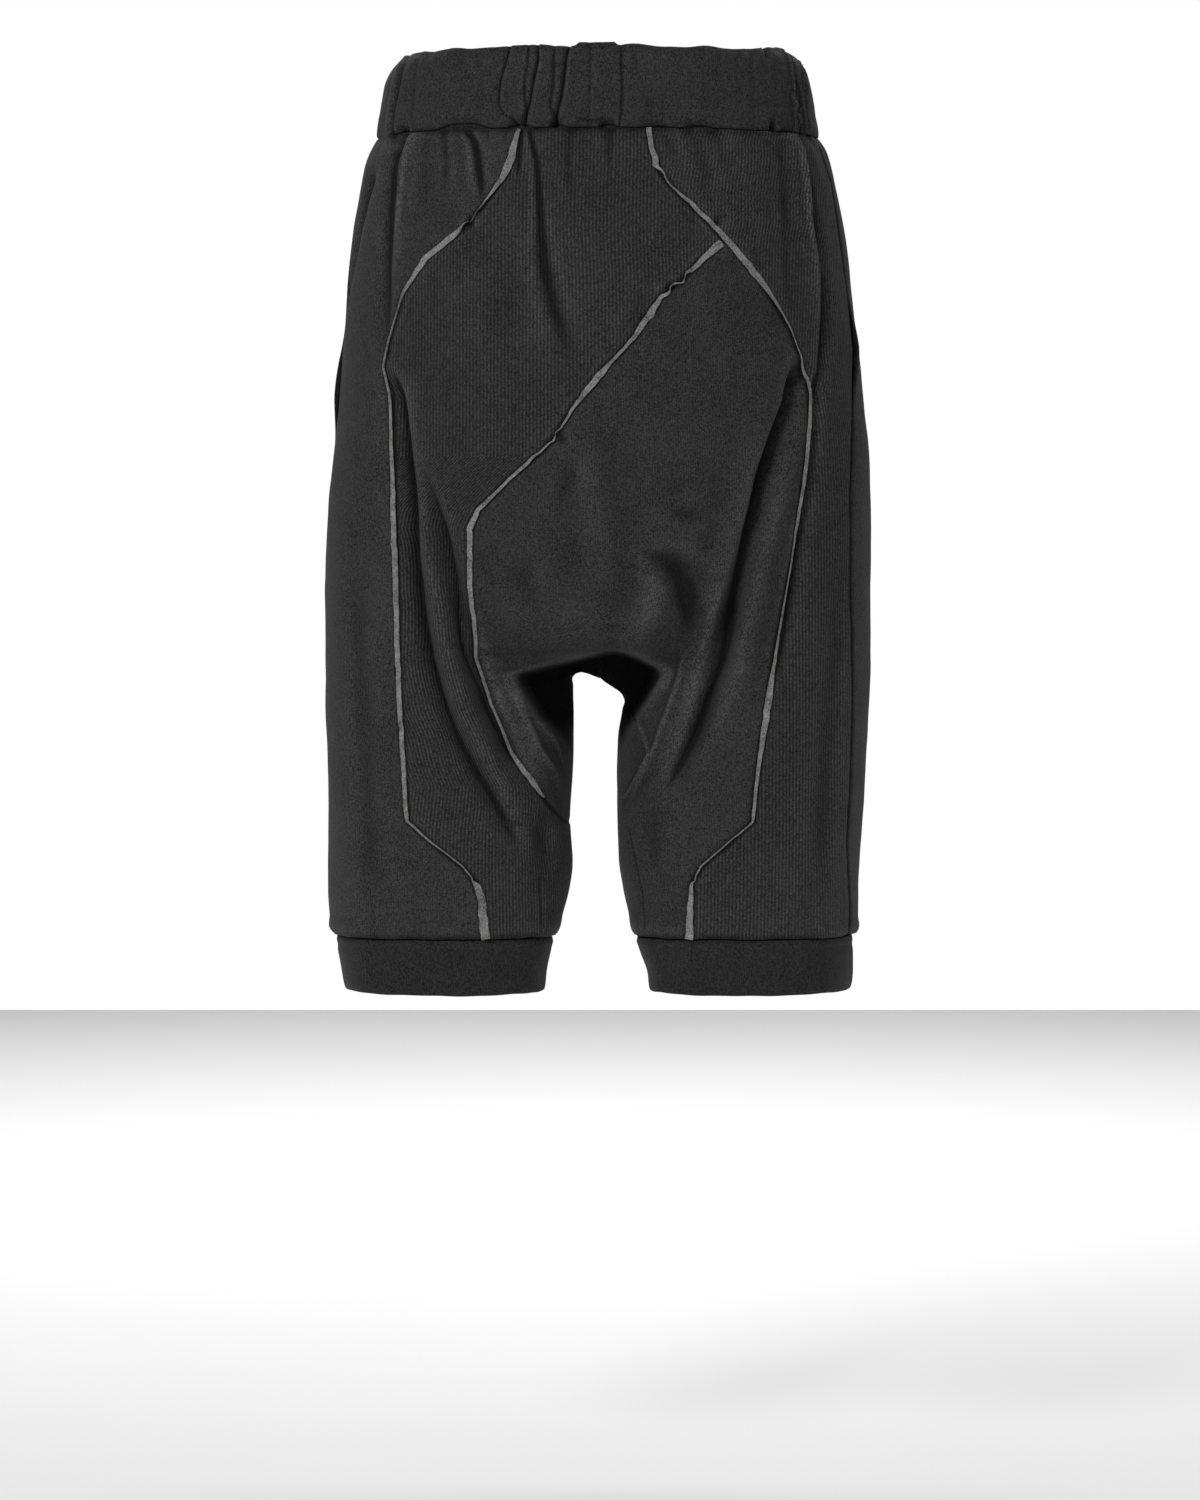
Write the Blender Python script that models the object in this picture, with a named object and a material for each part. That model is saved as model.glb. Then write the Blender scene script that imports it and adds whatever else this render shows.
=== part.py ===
"""Drop-crotch shorts: knitted panels, an elasticated waistband and two cuffs, standing open as worn.

Metres, +Z up, origin at the middle of the waistband. The back faces +Y and the wearer's left is +X.
Each panel is a closed wall of even thickness on one shared surface, and ends a hair short of its neighbour.
"""

import bpy
import numpy as np

for old in list(bpy.data.objects):
    bpy.data.objects.remove(old, do_unlink=True)

# ---- cloth and seams, mm ----
WALL = 2.0              # thickness of the knit
SEAM_GAP = 0.5          # air between two panels' edges
STRIP_THICK = 1.1       # raw edge of a seam allowance, lying on the cloth
STRIP_LIFT = 0.8        # air between the raw edge and the cloth under it
BAG_THICK = 1.4         # pocket bag, both layers flat together

# ---- heights, mm ----
BAND_TOP = 30.5
BAND_BOTTOM = -28.6
PANEL_TOP = -29.2
CROTCH = -446.0
PANEL_BOTTOM = -635.6
TIP_TOP = -114.0        # the seat panel's upper point, where the diagonal seam leaves the right seam
TIP_LOW = -552.0        # its lower point, where the diagonal seam reaches the left inseam

# ---- the body of the garment by height, mm ----
# half-widths to each side, depth of the back and front at the middle, then the same where nothing pinches them
SILHOUETTE = {
    "z":     (34, 26, 14, 0, -15, -27, -38, -51, -67, -98, -151, -190, -235, -266, -304, -342, -396, -458, -496,
              -534, -573, -604, -622, -633, -640, -678),
    "left":  (149, 155, 161, 164, 167, 170.5, 175.5, 180, 183, 188.5, 194.5, 197.5, 200.5, 203.5, 207.5, 209.5,
              210.5, 210.5, 209, 208.5, 208, 208, 206.5, 205, 199, 197.5),
    "right": (148, 153.5, 157.5, 160.5, 163, 167, 173, 177, 180.5, 186.5, 193, 197, 201, 205, 207, 207,
              207, 206, 204, 202, 199.5, 197.5, 197, 196, 194, 193.5),
}
TRUNK = {
    "z":     (34, -29, -45, -65, -98, -151, -190, -235, -266, -304, -342, -396, -450),
    "back":  (109, 111, 117, 123, 132, 141, 144, 143, 140, 136, 131, 125, 121),
    "front": (109, 111, 116, 119, 123, 126, 127, 127, 126, 124, 121, 117, 114),
}
MIDDLE = {
    "z":     (34, -29, -45, -65, -98, -151, -190, -235, -266, -304, -342, -375, -398, -409, -417, -423, -429,
              -436, -442, -446, -449, -453, -462, -480, -510, -547, -587, -603, -618, -633, -640, -678),
    "back":  (109, 111, 117, 123, 132, 141, 144, 143, 140, 136, 132, 128, 122, 115, 104, 88, 66,
              38, 17, 4, 2, 1, 2, 6, 12, 18, 24, 27, 30, 32, 32, 32),
    "front": (-109, -111, -116, -119, -123, -126, -127, -127, -126, -124, -121, -116, -109, -103, -95, -84, -66,
              -40, -14, 4, 2, 1, 2, 6, 12, 18, 24, 27, 30, 32, 32, 32),
    "left":  (0, 0, 0, 0, 0, 0, 0, 0, 0, 0, 0, 0, 0, 0, 0, 0, 0,
              0, 0, 0, 13, 18, 19, 19.5, 20, 21.5, 20.5, 23, 27.5, 32, 38, 42),
    "right": (0, 0, 0, 0, 0, 0, 0, 0, 0, 0, 0, 0, 0, 0, 0, 0, 0,
              0, 0, 0, 11, 14.5, 15, 14, 12, 12, 14.5, 17, 20.5, 24, 31, 36),
}
LEG = {
    "z":         (-200, -304, -396, -447, -496, -547, -587, -614, -633, -640, -678),
    "back":      (120, 122, 120, 118, 115, 111, 107, 103, 99, 96, 95),
    "front":     (-112, -113, -112, -110, -108, -105, -102, -100, -97, -95, -94),
    "mid_left":  (112, 112, 113, 114, 114, 115, 116, 118, 119, 120, 120),
    "mid_right": (110, 110, 110, 110, 109, 108, 108, 110, 112, 114, 115),
}

# ---- seams seen from behind, mm: (x, z) down each line, +x to the wearer's left ----
LEFT_SEAM = (
    (60, -28), (65, -50), (70, -64), (79, -77), (88, -89), (104, -107), (130, -126), (147, -152),
    (158, -187), (161, -206), (161, -224), (157, -296), (153, -379), (149, -465), (144, -546),
    (127, -562), (103, -580), (93, -592), (89, -603), (86, -637),
)
RIGHT_SEAM = (
    (-36, -28), (-38, -44), (-43, -60), (-52, -73), (-77, -97), (-100, -121), (-122, -147), (-142, -180),
    (-157, -217), (-158, -228), (-157, -250), (-146, -338), (-132, -422), (-119, -503), (-114, -547),
    (-92, -567), (-76, -580), (-69, -592), (-67, -637),
)
CROSS_SEAM = (
    (-92, -114), (-80, -125), (-59, -146), (-45, -157), (-27, -185), (-4, -210), (20, -239), (31, -257),
    (44, -272), (67, -291), (90, -314), (97, -328), (97, -373), (90, -422), (78, -460), (60, -497), (45, -526),
    (30, -545), (20, -552),
)

LEFT_SIDE_TURN = 0.485  # the left side seam stays at the outline, as a share of the way round the half
RIGHT_SIDE_SEAM = (
    (-164, -28), (-176, -65), (-188, -150), (-192, -190), (-191, -250), (-189, -300), (-190, -379),
    (-191, -460), (-190, -511), (-187, -565), (-190, -612), (-190, -636),
)

# ---- pocket mouths in the side seams, mm: the front edge stands off as a lip between two heights ----
MOUTHS = {1: (-172.0, -262.0), -1: (-146.0, -236.0)}    # top and bottom of the left one and the right one
LIP_OUT = 7.5           # how far the lip stands off at its middle
LIP_REACH = 15.0        # how far forward of the seam it dies away
BAG_TOP = -146.0
BAG_LOW = -302.0
BAG_LIFT = 2.0          # air between the bag and the panel outside it

# ---- folds of the cloth, mm: face, depth (a ridge is negative), width, then (x, z) down the fold ----
FOLDS = (
    ("back", 11, 10, ((161, -140), (157, -190), (152, -216), (148, -255), (144, -293), (137, -362), (123, -422),
     (106, -470), (81, -522), (62, -562))),
    ("back", 10, 10, ((133, -250), (127, -284), (119, -324), (110, -365), (98, -403), (88, -435), (72, -483),
     (54, -528))),
    ("back", -5, 11, ((146, -200), (138, -290), (124, -370), (106, -430), (86, -480), (66, -530))),
    ("back", 15, 10, ((-151, -195), (-143, -218), (-132, -248), (-122, -290), (-113, -331), (-104, -373),
     (-94, -412), (-80, -450), (-64, -488), (-50, -525))),
    ("back", -5, 12, ((-128, -215), (-108, -290), (-92, -360), (-76, -425), (-60, -470))),
    ("back", 5, 8, ((-165, -195), (-165, -240), (-157, -300), (-148, -350), (-138, -405))),
    ("back", 3, 8, ((96, -29), (92, -49), (87, -80))),
    ("back", 4, 10, ((54, -31), (48, -65), (45, -121), (41, -148), (34, -190))),
    ("back", 4, 9, ((-137, -32), (-139, -80), (-137, -157), (-134, -200))),
    ("back", 5, 8, ((-152, -30), (-157, -69), (-162, -150), (-164, -214), (-160, -262))),
    ("back", -4, 12, ((-146, -40), (-149, -110), (-151, -190), (-152, -225))),
    ("back", 4, 9, ((157, -32), (160, -99), (161, -155), (159, -218))),
    ("back", -4, 15, ((20, -240), (8, -300), (0, -350), (-4, -405))),
    ("back", 5, 14, ((-184, -330), (-178, -420), (-170, -520), (-166, -610))),
    ("back", 5, 15, ((186, -330), (182, -430), (176, -540), (172, -620))),
    ("back", -5, 6, ((58, -452), (50, -474), (40, -500), (28, -530))),
    ("front", 10, 11, ((150, -170), (140, -235), (122, -310), (98, -385), (74, -445), (60, -520))),
    ("front", 7, 10, ((118, -210), (100, -290), (76, -360), (50, -415))),
    ("front", -4, 11, ((132, -200), (112, -300), (86, -380), (62, -440))),
    ("front", 11, 11, ((-152, -150), (-138, -240), (-116, -320), (-92, -400), (-70, -465), (-58, -540))),
    ("front", 6, 10, ((-104, -190), (-90, -270), (-66, -350), (-40, -410))),
    ("front", 4, 9, ((70, -31), (66, -70), (58, -130))),
    ("front", 4, 10, ((28, -31), (30, -80), (24, -160))),
    ("front", 4, 9, ((-22, -31), (-26, -90), (-18, -150))),
    ("front", 4, 9, ((-82, -31), (-78, -80), (-70, -140))),
    ("front", 5, 14, ((170, -380), (166, -470), (160, -600))),
    ("front", 5, 13, ((-172, -340), (-164, -450), (-160, -590))),
    ("front", 5, 12, ((112, -480), (108, -550), (110, -620))),
    ("front", 4, 12, ((-106, -470), (-110, -540), (-104, -615))),
)

# ---- dents of the cloth, mm: face, depth (a swelling is negative), x, z, reach across, reach down ----
DENTS = (
    ("back", 8, -54, -374, 15, 19),
    ("back", -8, -54, -408, 17, 19),
    ("back", 2.5, -62, -317, 13, 9),
    ("back", 3, 25, -287, 12, 22),
    ("back", 8, 41, -557, 18, 10),
    ("back", 4, -38, -551, 13, 8),
    ("back", 24, 44, -456, 22, 17),
    ("back", 12, -40, -447, 16, 12),
    ("front", 6, 34, -402, 20, 14),
    ("front", -5, -30, -392, 24, 16),
    ("front", 6, -62, -560, 17, 9),
    ("front", 5, 66, -545, 15, 9),
)

# ---- waistband gathers seen from behind and from in front, mm: x, depth, width, lean down the band ----
BACK_GATHERS = (
    (150, 2.6, 3.6, -3), (141, 1.6, 4.0, 2), (131, 2.2, 4.4, -2), (121, 1.0, 4.2, 3), (104, 0.9, 6.0, -3),
    (88, 1.2, 4.6, 3), (70, 3.2, 3.4, -8), (54, 1.8, 3.2, 0), (47, 3.6, 3.2, -4), (35, 2.2, 3.2, 0),
    (26, 4.2, 3.4, -11), (8, 1.2, 4.0, -2), (-16, 2.4, 3.0, 1), (-34, 0.9, 5.0, 3), (-62, 0.7, 6.0, -4),
    (-88, 0.9, 5.0, 3), (-112, 1.2, 4.6, -3), (-128, 1.6, 4.0, 2), (-140, 2.6, 3.4, 4), (-146, 2.2, 3.0, -3),
)
FRONT_GATHERS = (
    (149, 2.2, 3.4, 3), (138, 1.8, 3.8, -2), (124, 2.6, 4.0, 3), (109, 1.2, 4.6, -3), (96, 2.8, 3.6, 5),
    (80, 1.4, 4.2, -4), (66, 2.4, 3.6, 3), (49, 1.0, 5.0, -2), (36, 3.0, 3.6, 6), (21, 1.6, 4.0, -3),
    (7, 2.6, 3.4, 2), (-10, 1.2, 4.4, -4), (-26, 3.0, 3.6, -5), (-43, 1.6, 4.2, 2), (-58, 2.4, 3.6, -3),
    (-74, 1.2, 4.8, 4), (-91, 2.8, 3.6, 3), (-107, 1.4, 4.2, -3), (-122, 2.4, 3.8, 3), (-137, 1.8, 3.6, -2),
    (-147, 2.4, 3.2, 3),
)

TIP_WIDTH = 0.004       # blunt width of the seat panel's points, as a share of half the girth
CROTCH_POINT = np.array([0.0, 4.0, CROTCH])
CROTCH_REACH = np.array([20.0, 34.0, 14.0])    # round this the panels all face down, so that they meet squarely
RING = 8                # control points from the middle of the back to the middle of the front, on each half


def smooth(t):
    """0 to 1 with no kink at either end: 3t^2 - 2t^3."""
    t = np.clip(t, 0.0, 1.0)
    return t * t * (3.0 - 2.0 * t)


def column(table, name, z):
    """One column of a height table at any height, by Hermite curves between its rows."""
    rows = np.array(table["z"], float)[::-1]
    values = np.array(table[name], float)[::-1]
    slopes = np.gradient(values, rows)
    flat = np.zeros(len(values), bool)
    flat[1:] |= np.diff(values) == 0
    flat[:-1] |= np.diff(values) == 0
    slopes[flat] = 0.0
    z = np.clip(z, rows[0], rows[-1])
    i = np.clip(np.searchsorted(rows, z) - 1, 0, len(rows) - 2)
    step = rows[i + 1] - rows[i]
    t = (z - rows[i]) / step
    start = values[i] * (1 + 2 * t) * (1 - t) ** 2 + slopes[i] * step * t * (1 - t) ** 2
    end = values[i + 1] * t * t * (3 - 2 * t) - slopes[i + 1] * step * t * t * (1 - t)
    return start + end


def ring_point(k, z, side):
    """Control point k of one half at height z: the trunk's oval above, blending into the leg's oval below."""
    name = "left" if side > 0 else "right"
    width = column(SILHOUETTE, name, z)
    if k in (0, RING):
        return column(MIDDLE, name, z), column(MIDDLE, "back" if k == 0 else "front", z)
    back = k <= RING / 2
    face = "back" if back else "front"
    depth = column(TRUNK, face, z) * (1 if back else -1)
    turn = np.pi * k / RING
    trunk_x = width * np.sin(turn) ** 0.92
    trunk_y = depth * np.abs(np.cos(turn)) ** 0.92 if k != RING / 2 else 0.0 * z
    centre = column(LEG, "mid_" + name, z)
    far = column(LEG, face, z)
    inner_x = column(MIDDLE, name, np.minimum(z, -462.0))
    inner_y = column(MIDDLE, face, np.minimum(z, CROTCH))
    turn = 2 * np.pi * k / RING - np.pi / 2
    reach = width - centre if np.sin(turn) > 0 else centre - inner_x
    leg_x = centre + reach * np.sign(np.sin(turn)) * np.abs(np.sin(turn)) ** 0.88
    rest = 0.0 * z if np.sin(turn) > 0 else inner_y
    share = np.abs(np.cos(turn)) ** 0.88 if abs(np.cos(turn)) > 1e-9 else 0.0
    leg_y = rest + (far - rest) * share
    start, end = (-372.0, -478.0) if k in (1, RING - 1) else (-210.0, -455.0)
    mix = smooth((start - z) / (start - end))
    return trunk_x + (leg_x - trunk_x) * mix, trunk_y + (leg_y - trunk_y) * mix


def base(turn, z):
    """The smooth body, mm. turn runs from 0 (middle back, inseam) to 1 (middle front, inseam), minus on the right."""
    turn, z = np.broadcast_arrays(np.asarray(turn, float), np.asarray(z, float))
    out = np.empty(turn.shape + (3,))
    for side in (1, -1):
        here = (turn >= 0) if side > 0 else (turn < 0)
        if not here.any():
            continue
        u = np.clip(np.abs(turn[here]), 0, 1) * RING
        h = z[here]
        points = [np.stack(ring_point(k, h, side), axis=-1) for k in range(RING + 1)]
        opened = smooth((CROTCH + 30 - h) / 31)[:, None]
        mirror = np.array([-1.0, 1.0])
        before = points[1] * mirror * (1 - opened) + points[RING - 1] * opened
        after = points[RING - 1] * mirror * (1 - opened) + points[1] * opened
        net = np.stack([before, *points, after], axis=1)
        k = np.clip(np.floor(u).astype(int), 0, RING - 1)
        t = (u - k)[:, None]
        row = np.arange(len(u))
        a, b, c, d = (net[row, k + n] for n in range(4))
        flat = b + 0.5 * t * (c - a + t * (2 * a - 5 * b + 4 * c - d + t * (3 * (b - c) + d - a)))
        x = flat[:, 0] * side
        slope = np.where(x > 0, 0.66, 0.48) * smooth((-405 - h) / 30) * smooth((h + 520) / 55)
        tilt = slope * x * np.exp(-((x / 40) ** 2))
        out[here] = np.stack([x, flat[:, 1], h + tilt], axis=-1)
    return out


def turn_at(x, z, face):
    """The turn whose point lies at this x on the back or the front, found by halving."""
    x = np.asarray(x, float)
    side = np.where(x < 0, -1.0, 1.0)
    low, high = (0.0, 0.5) if face == "back" else (1.0, 0.5)
    near = np.full(x.shape, low)
    far = np.full(x.shape, high)
    for _ in range(30):
        middle = (near + far) / 2
        under = np.abs(base(side * middle, z)[..., 0]) < np.abs(x)
        near = np.where(under, middle, near)
        far = np.where(under, far, middle)
    return side * (near + far) / 2


HEIGHTS = np.arange(-640.0, -26.0, 2.0)


def traced(path, face="back"):
    """A seam or fold given by (x, z) as its turn at every height of HEIGHTS."""
    path = np.array(path, float)[::-1]
    return turn_at(np.interp(HEIGHTS, path[:, 1], path[:, 0]), HEIGHTS, face)


def fold_field():
    made = []
    for face, depth, width, path in FOLDS:
        line = np.array(path, float)
        lean = np.gradient(np.interp(HEIGHTS, line[::-1, 1], line[::-1, 0]), HEIGHTS)
        made.append((depth, width, line[0, 1], line[-1, 1], traced(path, face), 1 / np.sqrt(1 + lean ** 2)))
    return made


FIELD = fold_field()


def apart(turn, centre, z):
    """How far a turn is from another: straight across the trunk, but only round the same leg below the crotch."""
    whole = (turn - centre + 1) % 2 - 1
    round_leg = (np.abs(turn) - np.abs(centre) + 0.5) % 1 - 0.5
    return np.where(z >= CROTCH, whole, np.where((turn < 0) == (centre < 0), round_leg, 9.0))


DENT_TURNS = [float(turn_at(np.array([float(x)]), np.array([float(z)]), face)[0]) for face, _, x, z, _, _ in DENTS]


SIDE_LEFT = np.full(HEIGHTS.shape, LEFT_SIDE_TURN)
SIDE_RIGHT = traced(RIGHT_SIDE_SEAM)


def side_turn(turn, z):
    """The turn, without its sign, of the side seam on the same half at this height."""
    return np.where(turn < 0, -np.interp(z, HEIGHTS, SIDE_RIGHT), np.interp(z, HEIGHTS, SIDE_LEFT))


def neighbours(turn, z):
    """Two turns either side of this one, on the same side of the side seam."""
    u = np.abs(turn)
    seam = side_turn(turn, z)
    low = np.where(u > seam, np.maximum(u - 0.004, seam + 1e-4), np.maximum(u - 0.004, 1e-6))
    high = np.where(u > seam, np.minimum(u + 0.004, 1.0), np.minimum(u + 0.004, seam - 1e-4))
    return low, high


def first_normal(turn, z):
    """Outward unit normal of the smooth body, and its length per unit of turn."""
    u = np.abs(turn)
    side = np.where(turn < 0, -1.0, 1.0)
    low = side * np.clip(u - 0.004, 1e-6, 1)
    high = side * np.clip(u + 0.004, 1e-6, 1)
    along = (base(high, z) - base(low, z)) / (np.abs(high) - np.abs(low))[..., None]
    down = base(turn, z - 1.0) - base(turn, z + 1.0)
    normal = np.cross(along, down) * side[..., None]
    normal /= np.linalg.norm(normal, axis=-1, keepdims=True)
    return normal, np.linalg.norm(along, axis=-1)


def cloth(turn, z, lip=1.0):
    """The body with its folds: each pushes the cloth in along the normal, as a bell across the fold's own line.

    Forward of a pocket mouth the cloth is pushed out by the lip.
    """
    turn, z = np.broadcast_arrays(np.asarray(turn, float), np.asarray(z, float))
    normal, pace = first_normal(turn, z)
    forward = (np.abs(turn) - side_turn(turn, z)) * pace
    top, low = (np.where(turn < 0, MOUTHS[-1][n], MOUTHS[1][n]) for n in (0, 1))
    share = (top - z) / (top - low)
    window = smooth(share / 0.5) * smooth((1 - share) / 0.45)
    push = np.where(forward > 0, -lip * LIP_OUT * window * np.exp(-((forward / LIP_REACH) ** 2)), 0.0)
    for depth, width, top, low, line, lean in FIELD:
        across = apart(turn, np.interp(z, HEIGHTS, line), z) * pace * np.interp(z, HEIGHTS, lean)
        share = (top - z) / (top - low)
        push += depth * np.exp(-((across / width) ** 2)) * smooth(share / 0.3) * smooth((1 - share) / 0.3)
    for (face, depth, x, height, wide, tall), centre in zip(DENTS, DENT_TURNS):
        push += depth * np.exp(-((apart(turn, centre, z) * pace / wide) ** 2) - ((z - height) / tall) ** 2)
    return base(turn, z) - normal * push[..., None]


def cloth_normal(turn, z, lip=1.0):
    """Outward unit normal of the folded cloth, shared by the two edges that meet at an inseam or at the middle."""
    turn, z = np.broadcast_arrays(np.asarray(turn, float), np.asarray(z, float))
    made = one_normal(turn, z, lip)
    u = np.abs(turn)
    side = np.where(turn < 0, -1.0, 1.0)
    beside = ((u < 0.01) & (z < CROTCH)) | (u > 0.99)
    partner = np.where(z < CROTCH, side * np.clip(1 - u, 1e-9, 1), -turn)
    made = np.where(beside[..., None], made + one_normal(partner, z, lip), made)
    return made / np.linalg.norm(made, axis=-1, keepdims=True)


def one_normal(turn, z, lip):
    """Outward unit normal by small steps along and down the cloth, turned down round the crotch."""
    side = np.where(turn < 0, -1.0, 1.0)
    low, high = neighbours(turn, z)
    along = cloth(side * high, z, lip) - cloth(side * low, z, lip)
    down = cloth(turn, z - 1.0, lip) - cloth(turn, z + 1.0, lip)
    normal = np.cross(along, down) * side[..., None]
    normal /= np.linalg.norm(normal, axis=-1, keepdims=True)
    away = (base(turn, z) - CROTCH_POINT) / CROTCH_REACH
    share = np.exp(-(away ** 2).sum(axis=-1))[..., None]
    normal = normal * (1 - share) + np.array([0.0, 0.0, -1.0]) * share
    return normal / np.linalg.norm(normal, axis=-1, keepdims=True)


def material(name, colour, roughness):
    made = bpy.data.materials.new(name)
    made.use_nodes = True
    shader = made.node_tree.nodes["Principled BSDF"]
    shader.inputs["Base Color"].default_value = (*colour, 1.0)
    shader.inputs["Roughness"].default_value = roughness
    shader.inputs["Sheen Weight"].default_value = 0.2
    return made


def add_object(name, points, faces, stuff):
    """One named object from points in mm."""
    mesh = bpy.data.meshes.new(name)
    mesh.from_pydata((np.asarray(points) / 1000).tolist(), [], [tuple(int(i) for i in face) for face in faces])
    mesh.validate()
    mesh.shade_smooth()
    made = bpy.data.objects.new(name, mesh)
    made.data.materials.append(stuff)
    bpy.context.scene.collection.objects.link(made)
    return made


def add_shell(name, outer, inner, quads, stuff):
    """A closed wall: the outer quads, the inner ones turned round, and a rim along each edge that has one quad."""
    count = len(outer)
    quads = np.asarray(quads)
    edges = np.concatenate([quads[:, [0, 1]], quads[:, [1, 2]], quads[:, [2, 3]], quads[:, [3, 0]]])
    seen = {(a, b) for a, b in edges.tolist()}
    rim = [(b, a, a + count, b + count) for a, b in edges.tolist() if (b, a) not in seen]
    faces = quads.tolist() + (quads[:, ::-1] + count).tolist() + rim
    return add_object(name, np.concatenate([outer, inner]), faces, stuff)


ROWS = np.array([
    PANEL_TOP, -36, -46, -62, -80, -97, TIP_TOP, -130, -147, -166, -187, -208, -229, -252, -276, -300, -324,
    -346, -367, -386, -400, -410, -418, -425, -432, -439, CROTCH, -449.5, -454, -464, -480, -498, -516, -534,
    TIP_LOW, -565, -580, -594, -610, -626, PANEL_BOTTOM,
])


def edge_turns(line, inset):
    """A seam's turn at every row, moved off the seam by inset mm measured square to the seam."""
    turns = np.interp(ROWS, HEIGHTS, line)
    pace = first_normal(turns, ROWS)[1]
    lean = np.interp(ROWS, HEIGHTS, np.gradient(line, HEIGHTS)) * pace
    crotch = 1 + 2.5 * np.exp(-(((ROWS - CROTCH) / 12) ** 2)) * (np.abs(turns) % 1 < 0.02)
    return turns + inset / pace * np.sqrt(1 + np.minimum(lean ** 2, 6.0)) * crotch


def grid_quads(ids):
    """Quads of a grid of point numbers, with rows running down and columns toward the wearer's left."""
    a, b, c, d = ids[:-1, :-1], ids[1:, :-1], ids[1:, 1:], ids[:-1, 1:]
    return np.stack([a, d, c, b], axis=-1).reshape(-1, 4)


def wall_points(turns, rows):
    middle = cloth(turns, rows)
    normal = cloth_normal(turns, rows)
    return middle + normal * WALL / 2, middle - normal * WALL / 2


def spread(first, last, columns):
    """Turns across a panel at every row, drawn closer together where a fold runs."""
    fine = np.linspace(0, 1, 241)
    turns = first[:, None] * (1 - fine) + last[:, None] * fine
    rows = np.broadcast_to(ROWS[-len(first):, None], turns.shape)
    pace = first_normal(turns, rows)[1]
    weight = np.full(turns.shape, 1.0)
    for depth, width, top, low, line, _ in FIELD:
        across = apart(turns, np.interp(rows, HEIGHTS, line), rows) * pace
        share = (top - rows) / (top - low)
        present = smooth(share / 0.3) * smooth((1 - share) / 0.3)
        weight += 0.22 * abs(depth) * np.exp(-((across / width / 1.3) ** 2)) * present
    walked = np.cumsum((weight[:, 1:] + weight[:, :-1]) / 2, axis=1)
    walked = np.concatenate([np.zeros((len(first), 1)), walked], axis=1)
    walked /= walked[:, -1:]
    even = np.linspace(0, 1, columns + 1)
    return np.stack([np.interp(even, walked[r], turns[r]) for r in range(len(first))])


MIDDLE_SIDE = {"front_left": 1, "front_right": -1}     # panels that stay on their own side of the middle
TURNS = {}              # turns of each panel's columns
GRIDS = {}              # outer points and normals of each panel, row by row, for what lies on it


def add_panel(name, first, last, columns, rows, stuff):
    """A panel between two edges, its columns evenly spaced between them at every row."""
    turns = spread(first, last, columns)
    TURNS[name] = turns
    heights = np.broadcast_to(rows[:, None], turns.shape)
    outer, inner = wall_points(turns.ravel(), heights.ravel())
    if name in MIDDLE_SIDE:
        for points in (outer, inner):
            points[:, 0] = MIDDLE_SIDE[name] * np.maximum(MIDDLE_SIDE[name] * points[:, 0], SEAM_GAP / 2)
    GRIDS[name] = (outer.reshape(*turns.shape, 3), (outer - inner).reshape(*turns.shape, 3) / WALL)
    quads = grid_quads(np.arange(turns.size).reshape(turns.shape))
    return add_shell(name, outer, inner, quads, stuff)


rib = material("ribbed_knit", (0.035, 0.036, 0.037), 0.85)
jersey = material("plain_jersey", (0.042, 0.043, 0.044), 0.8)
raw = material("raw_edge", (0.21, 0.21, 0.2), 0.9)
bag_cloth = material("pocket_cloth", (0.03, 0.03, 0.031), 0.85)

HALF = SEAM_GAP / 2
left_line = traced(LEFT_SEAM)
right_line = traced(RIGHT_SEAM)
cross_line = traced(CROSS_SEAM)
middle = np.zeros(HEIGHTS.shape)
front = np.ones(HEIGHTS.shape)

above_tip = ROWS >= TIP_TOP
below_tip = ROWS <= TIP_LOW
in_legs = ROWS < CROTCH
tip_row = int(np.flatnonzero(ROWS == TIP_TOP)[0])

# ---- left side back, plain jersey, from the left seam round to the left side seam ----
add_panel("back_side_left", edge_turns(left_line, HALF), edge_turns(SIDE_LEFT, -HALF), 9, ROWS, jersey)

# ---- right side back, ribbed ----
add_panel("back_side_right", edge_turns(SIDE_RIGHT, HALF), edge_turns(right_line, -HALF), 9, ROWS, rib)

# ---- centre back, ribbed: to the right seam, then the diagonal seam beside the seat, then the inseam ----
centre_edge = np.where(above_tip, edge_turns(right_line, HALF), edge_turns(cross_line, HALF))
centre_edge = np.where(below_tip, edge_turns(middle, HALF), centre_edge)
centre_edge[ROWS == TIP_TOP] = edge_turns(right_line, HALF + SEAM_GAP)[ROWS == TIP_TOP] + TIP_WIDTH
centre_edge[ROWS == TIP_LOW] = edge_turns(middle, HALF + SEAM_GAP)[ROWS == TIP_LOW] + TIP_WIDTH
add_panel("back_centre_rib", centre_edge, edge_turns(left_line, -HALF), 13, ROWS, rib)


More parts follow.
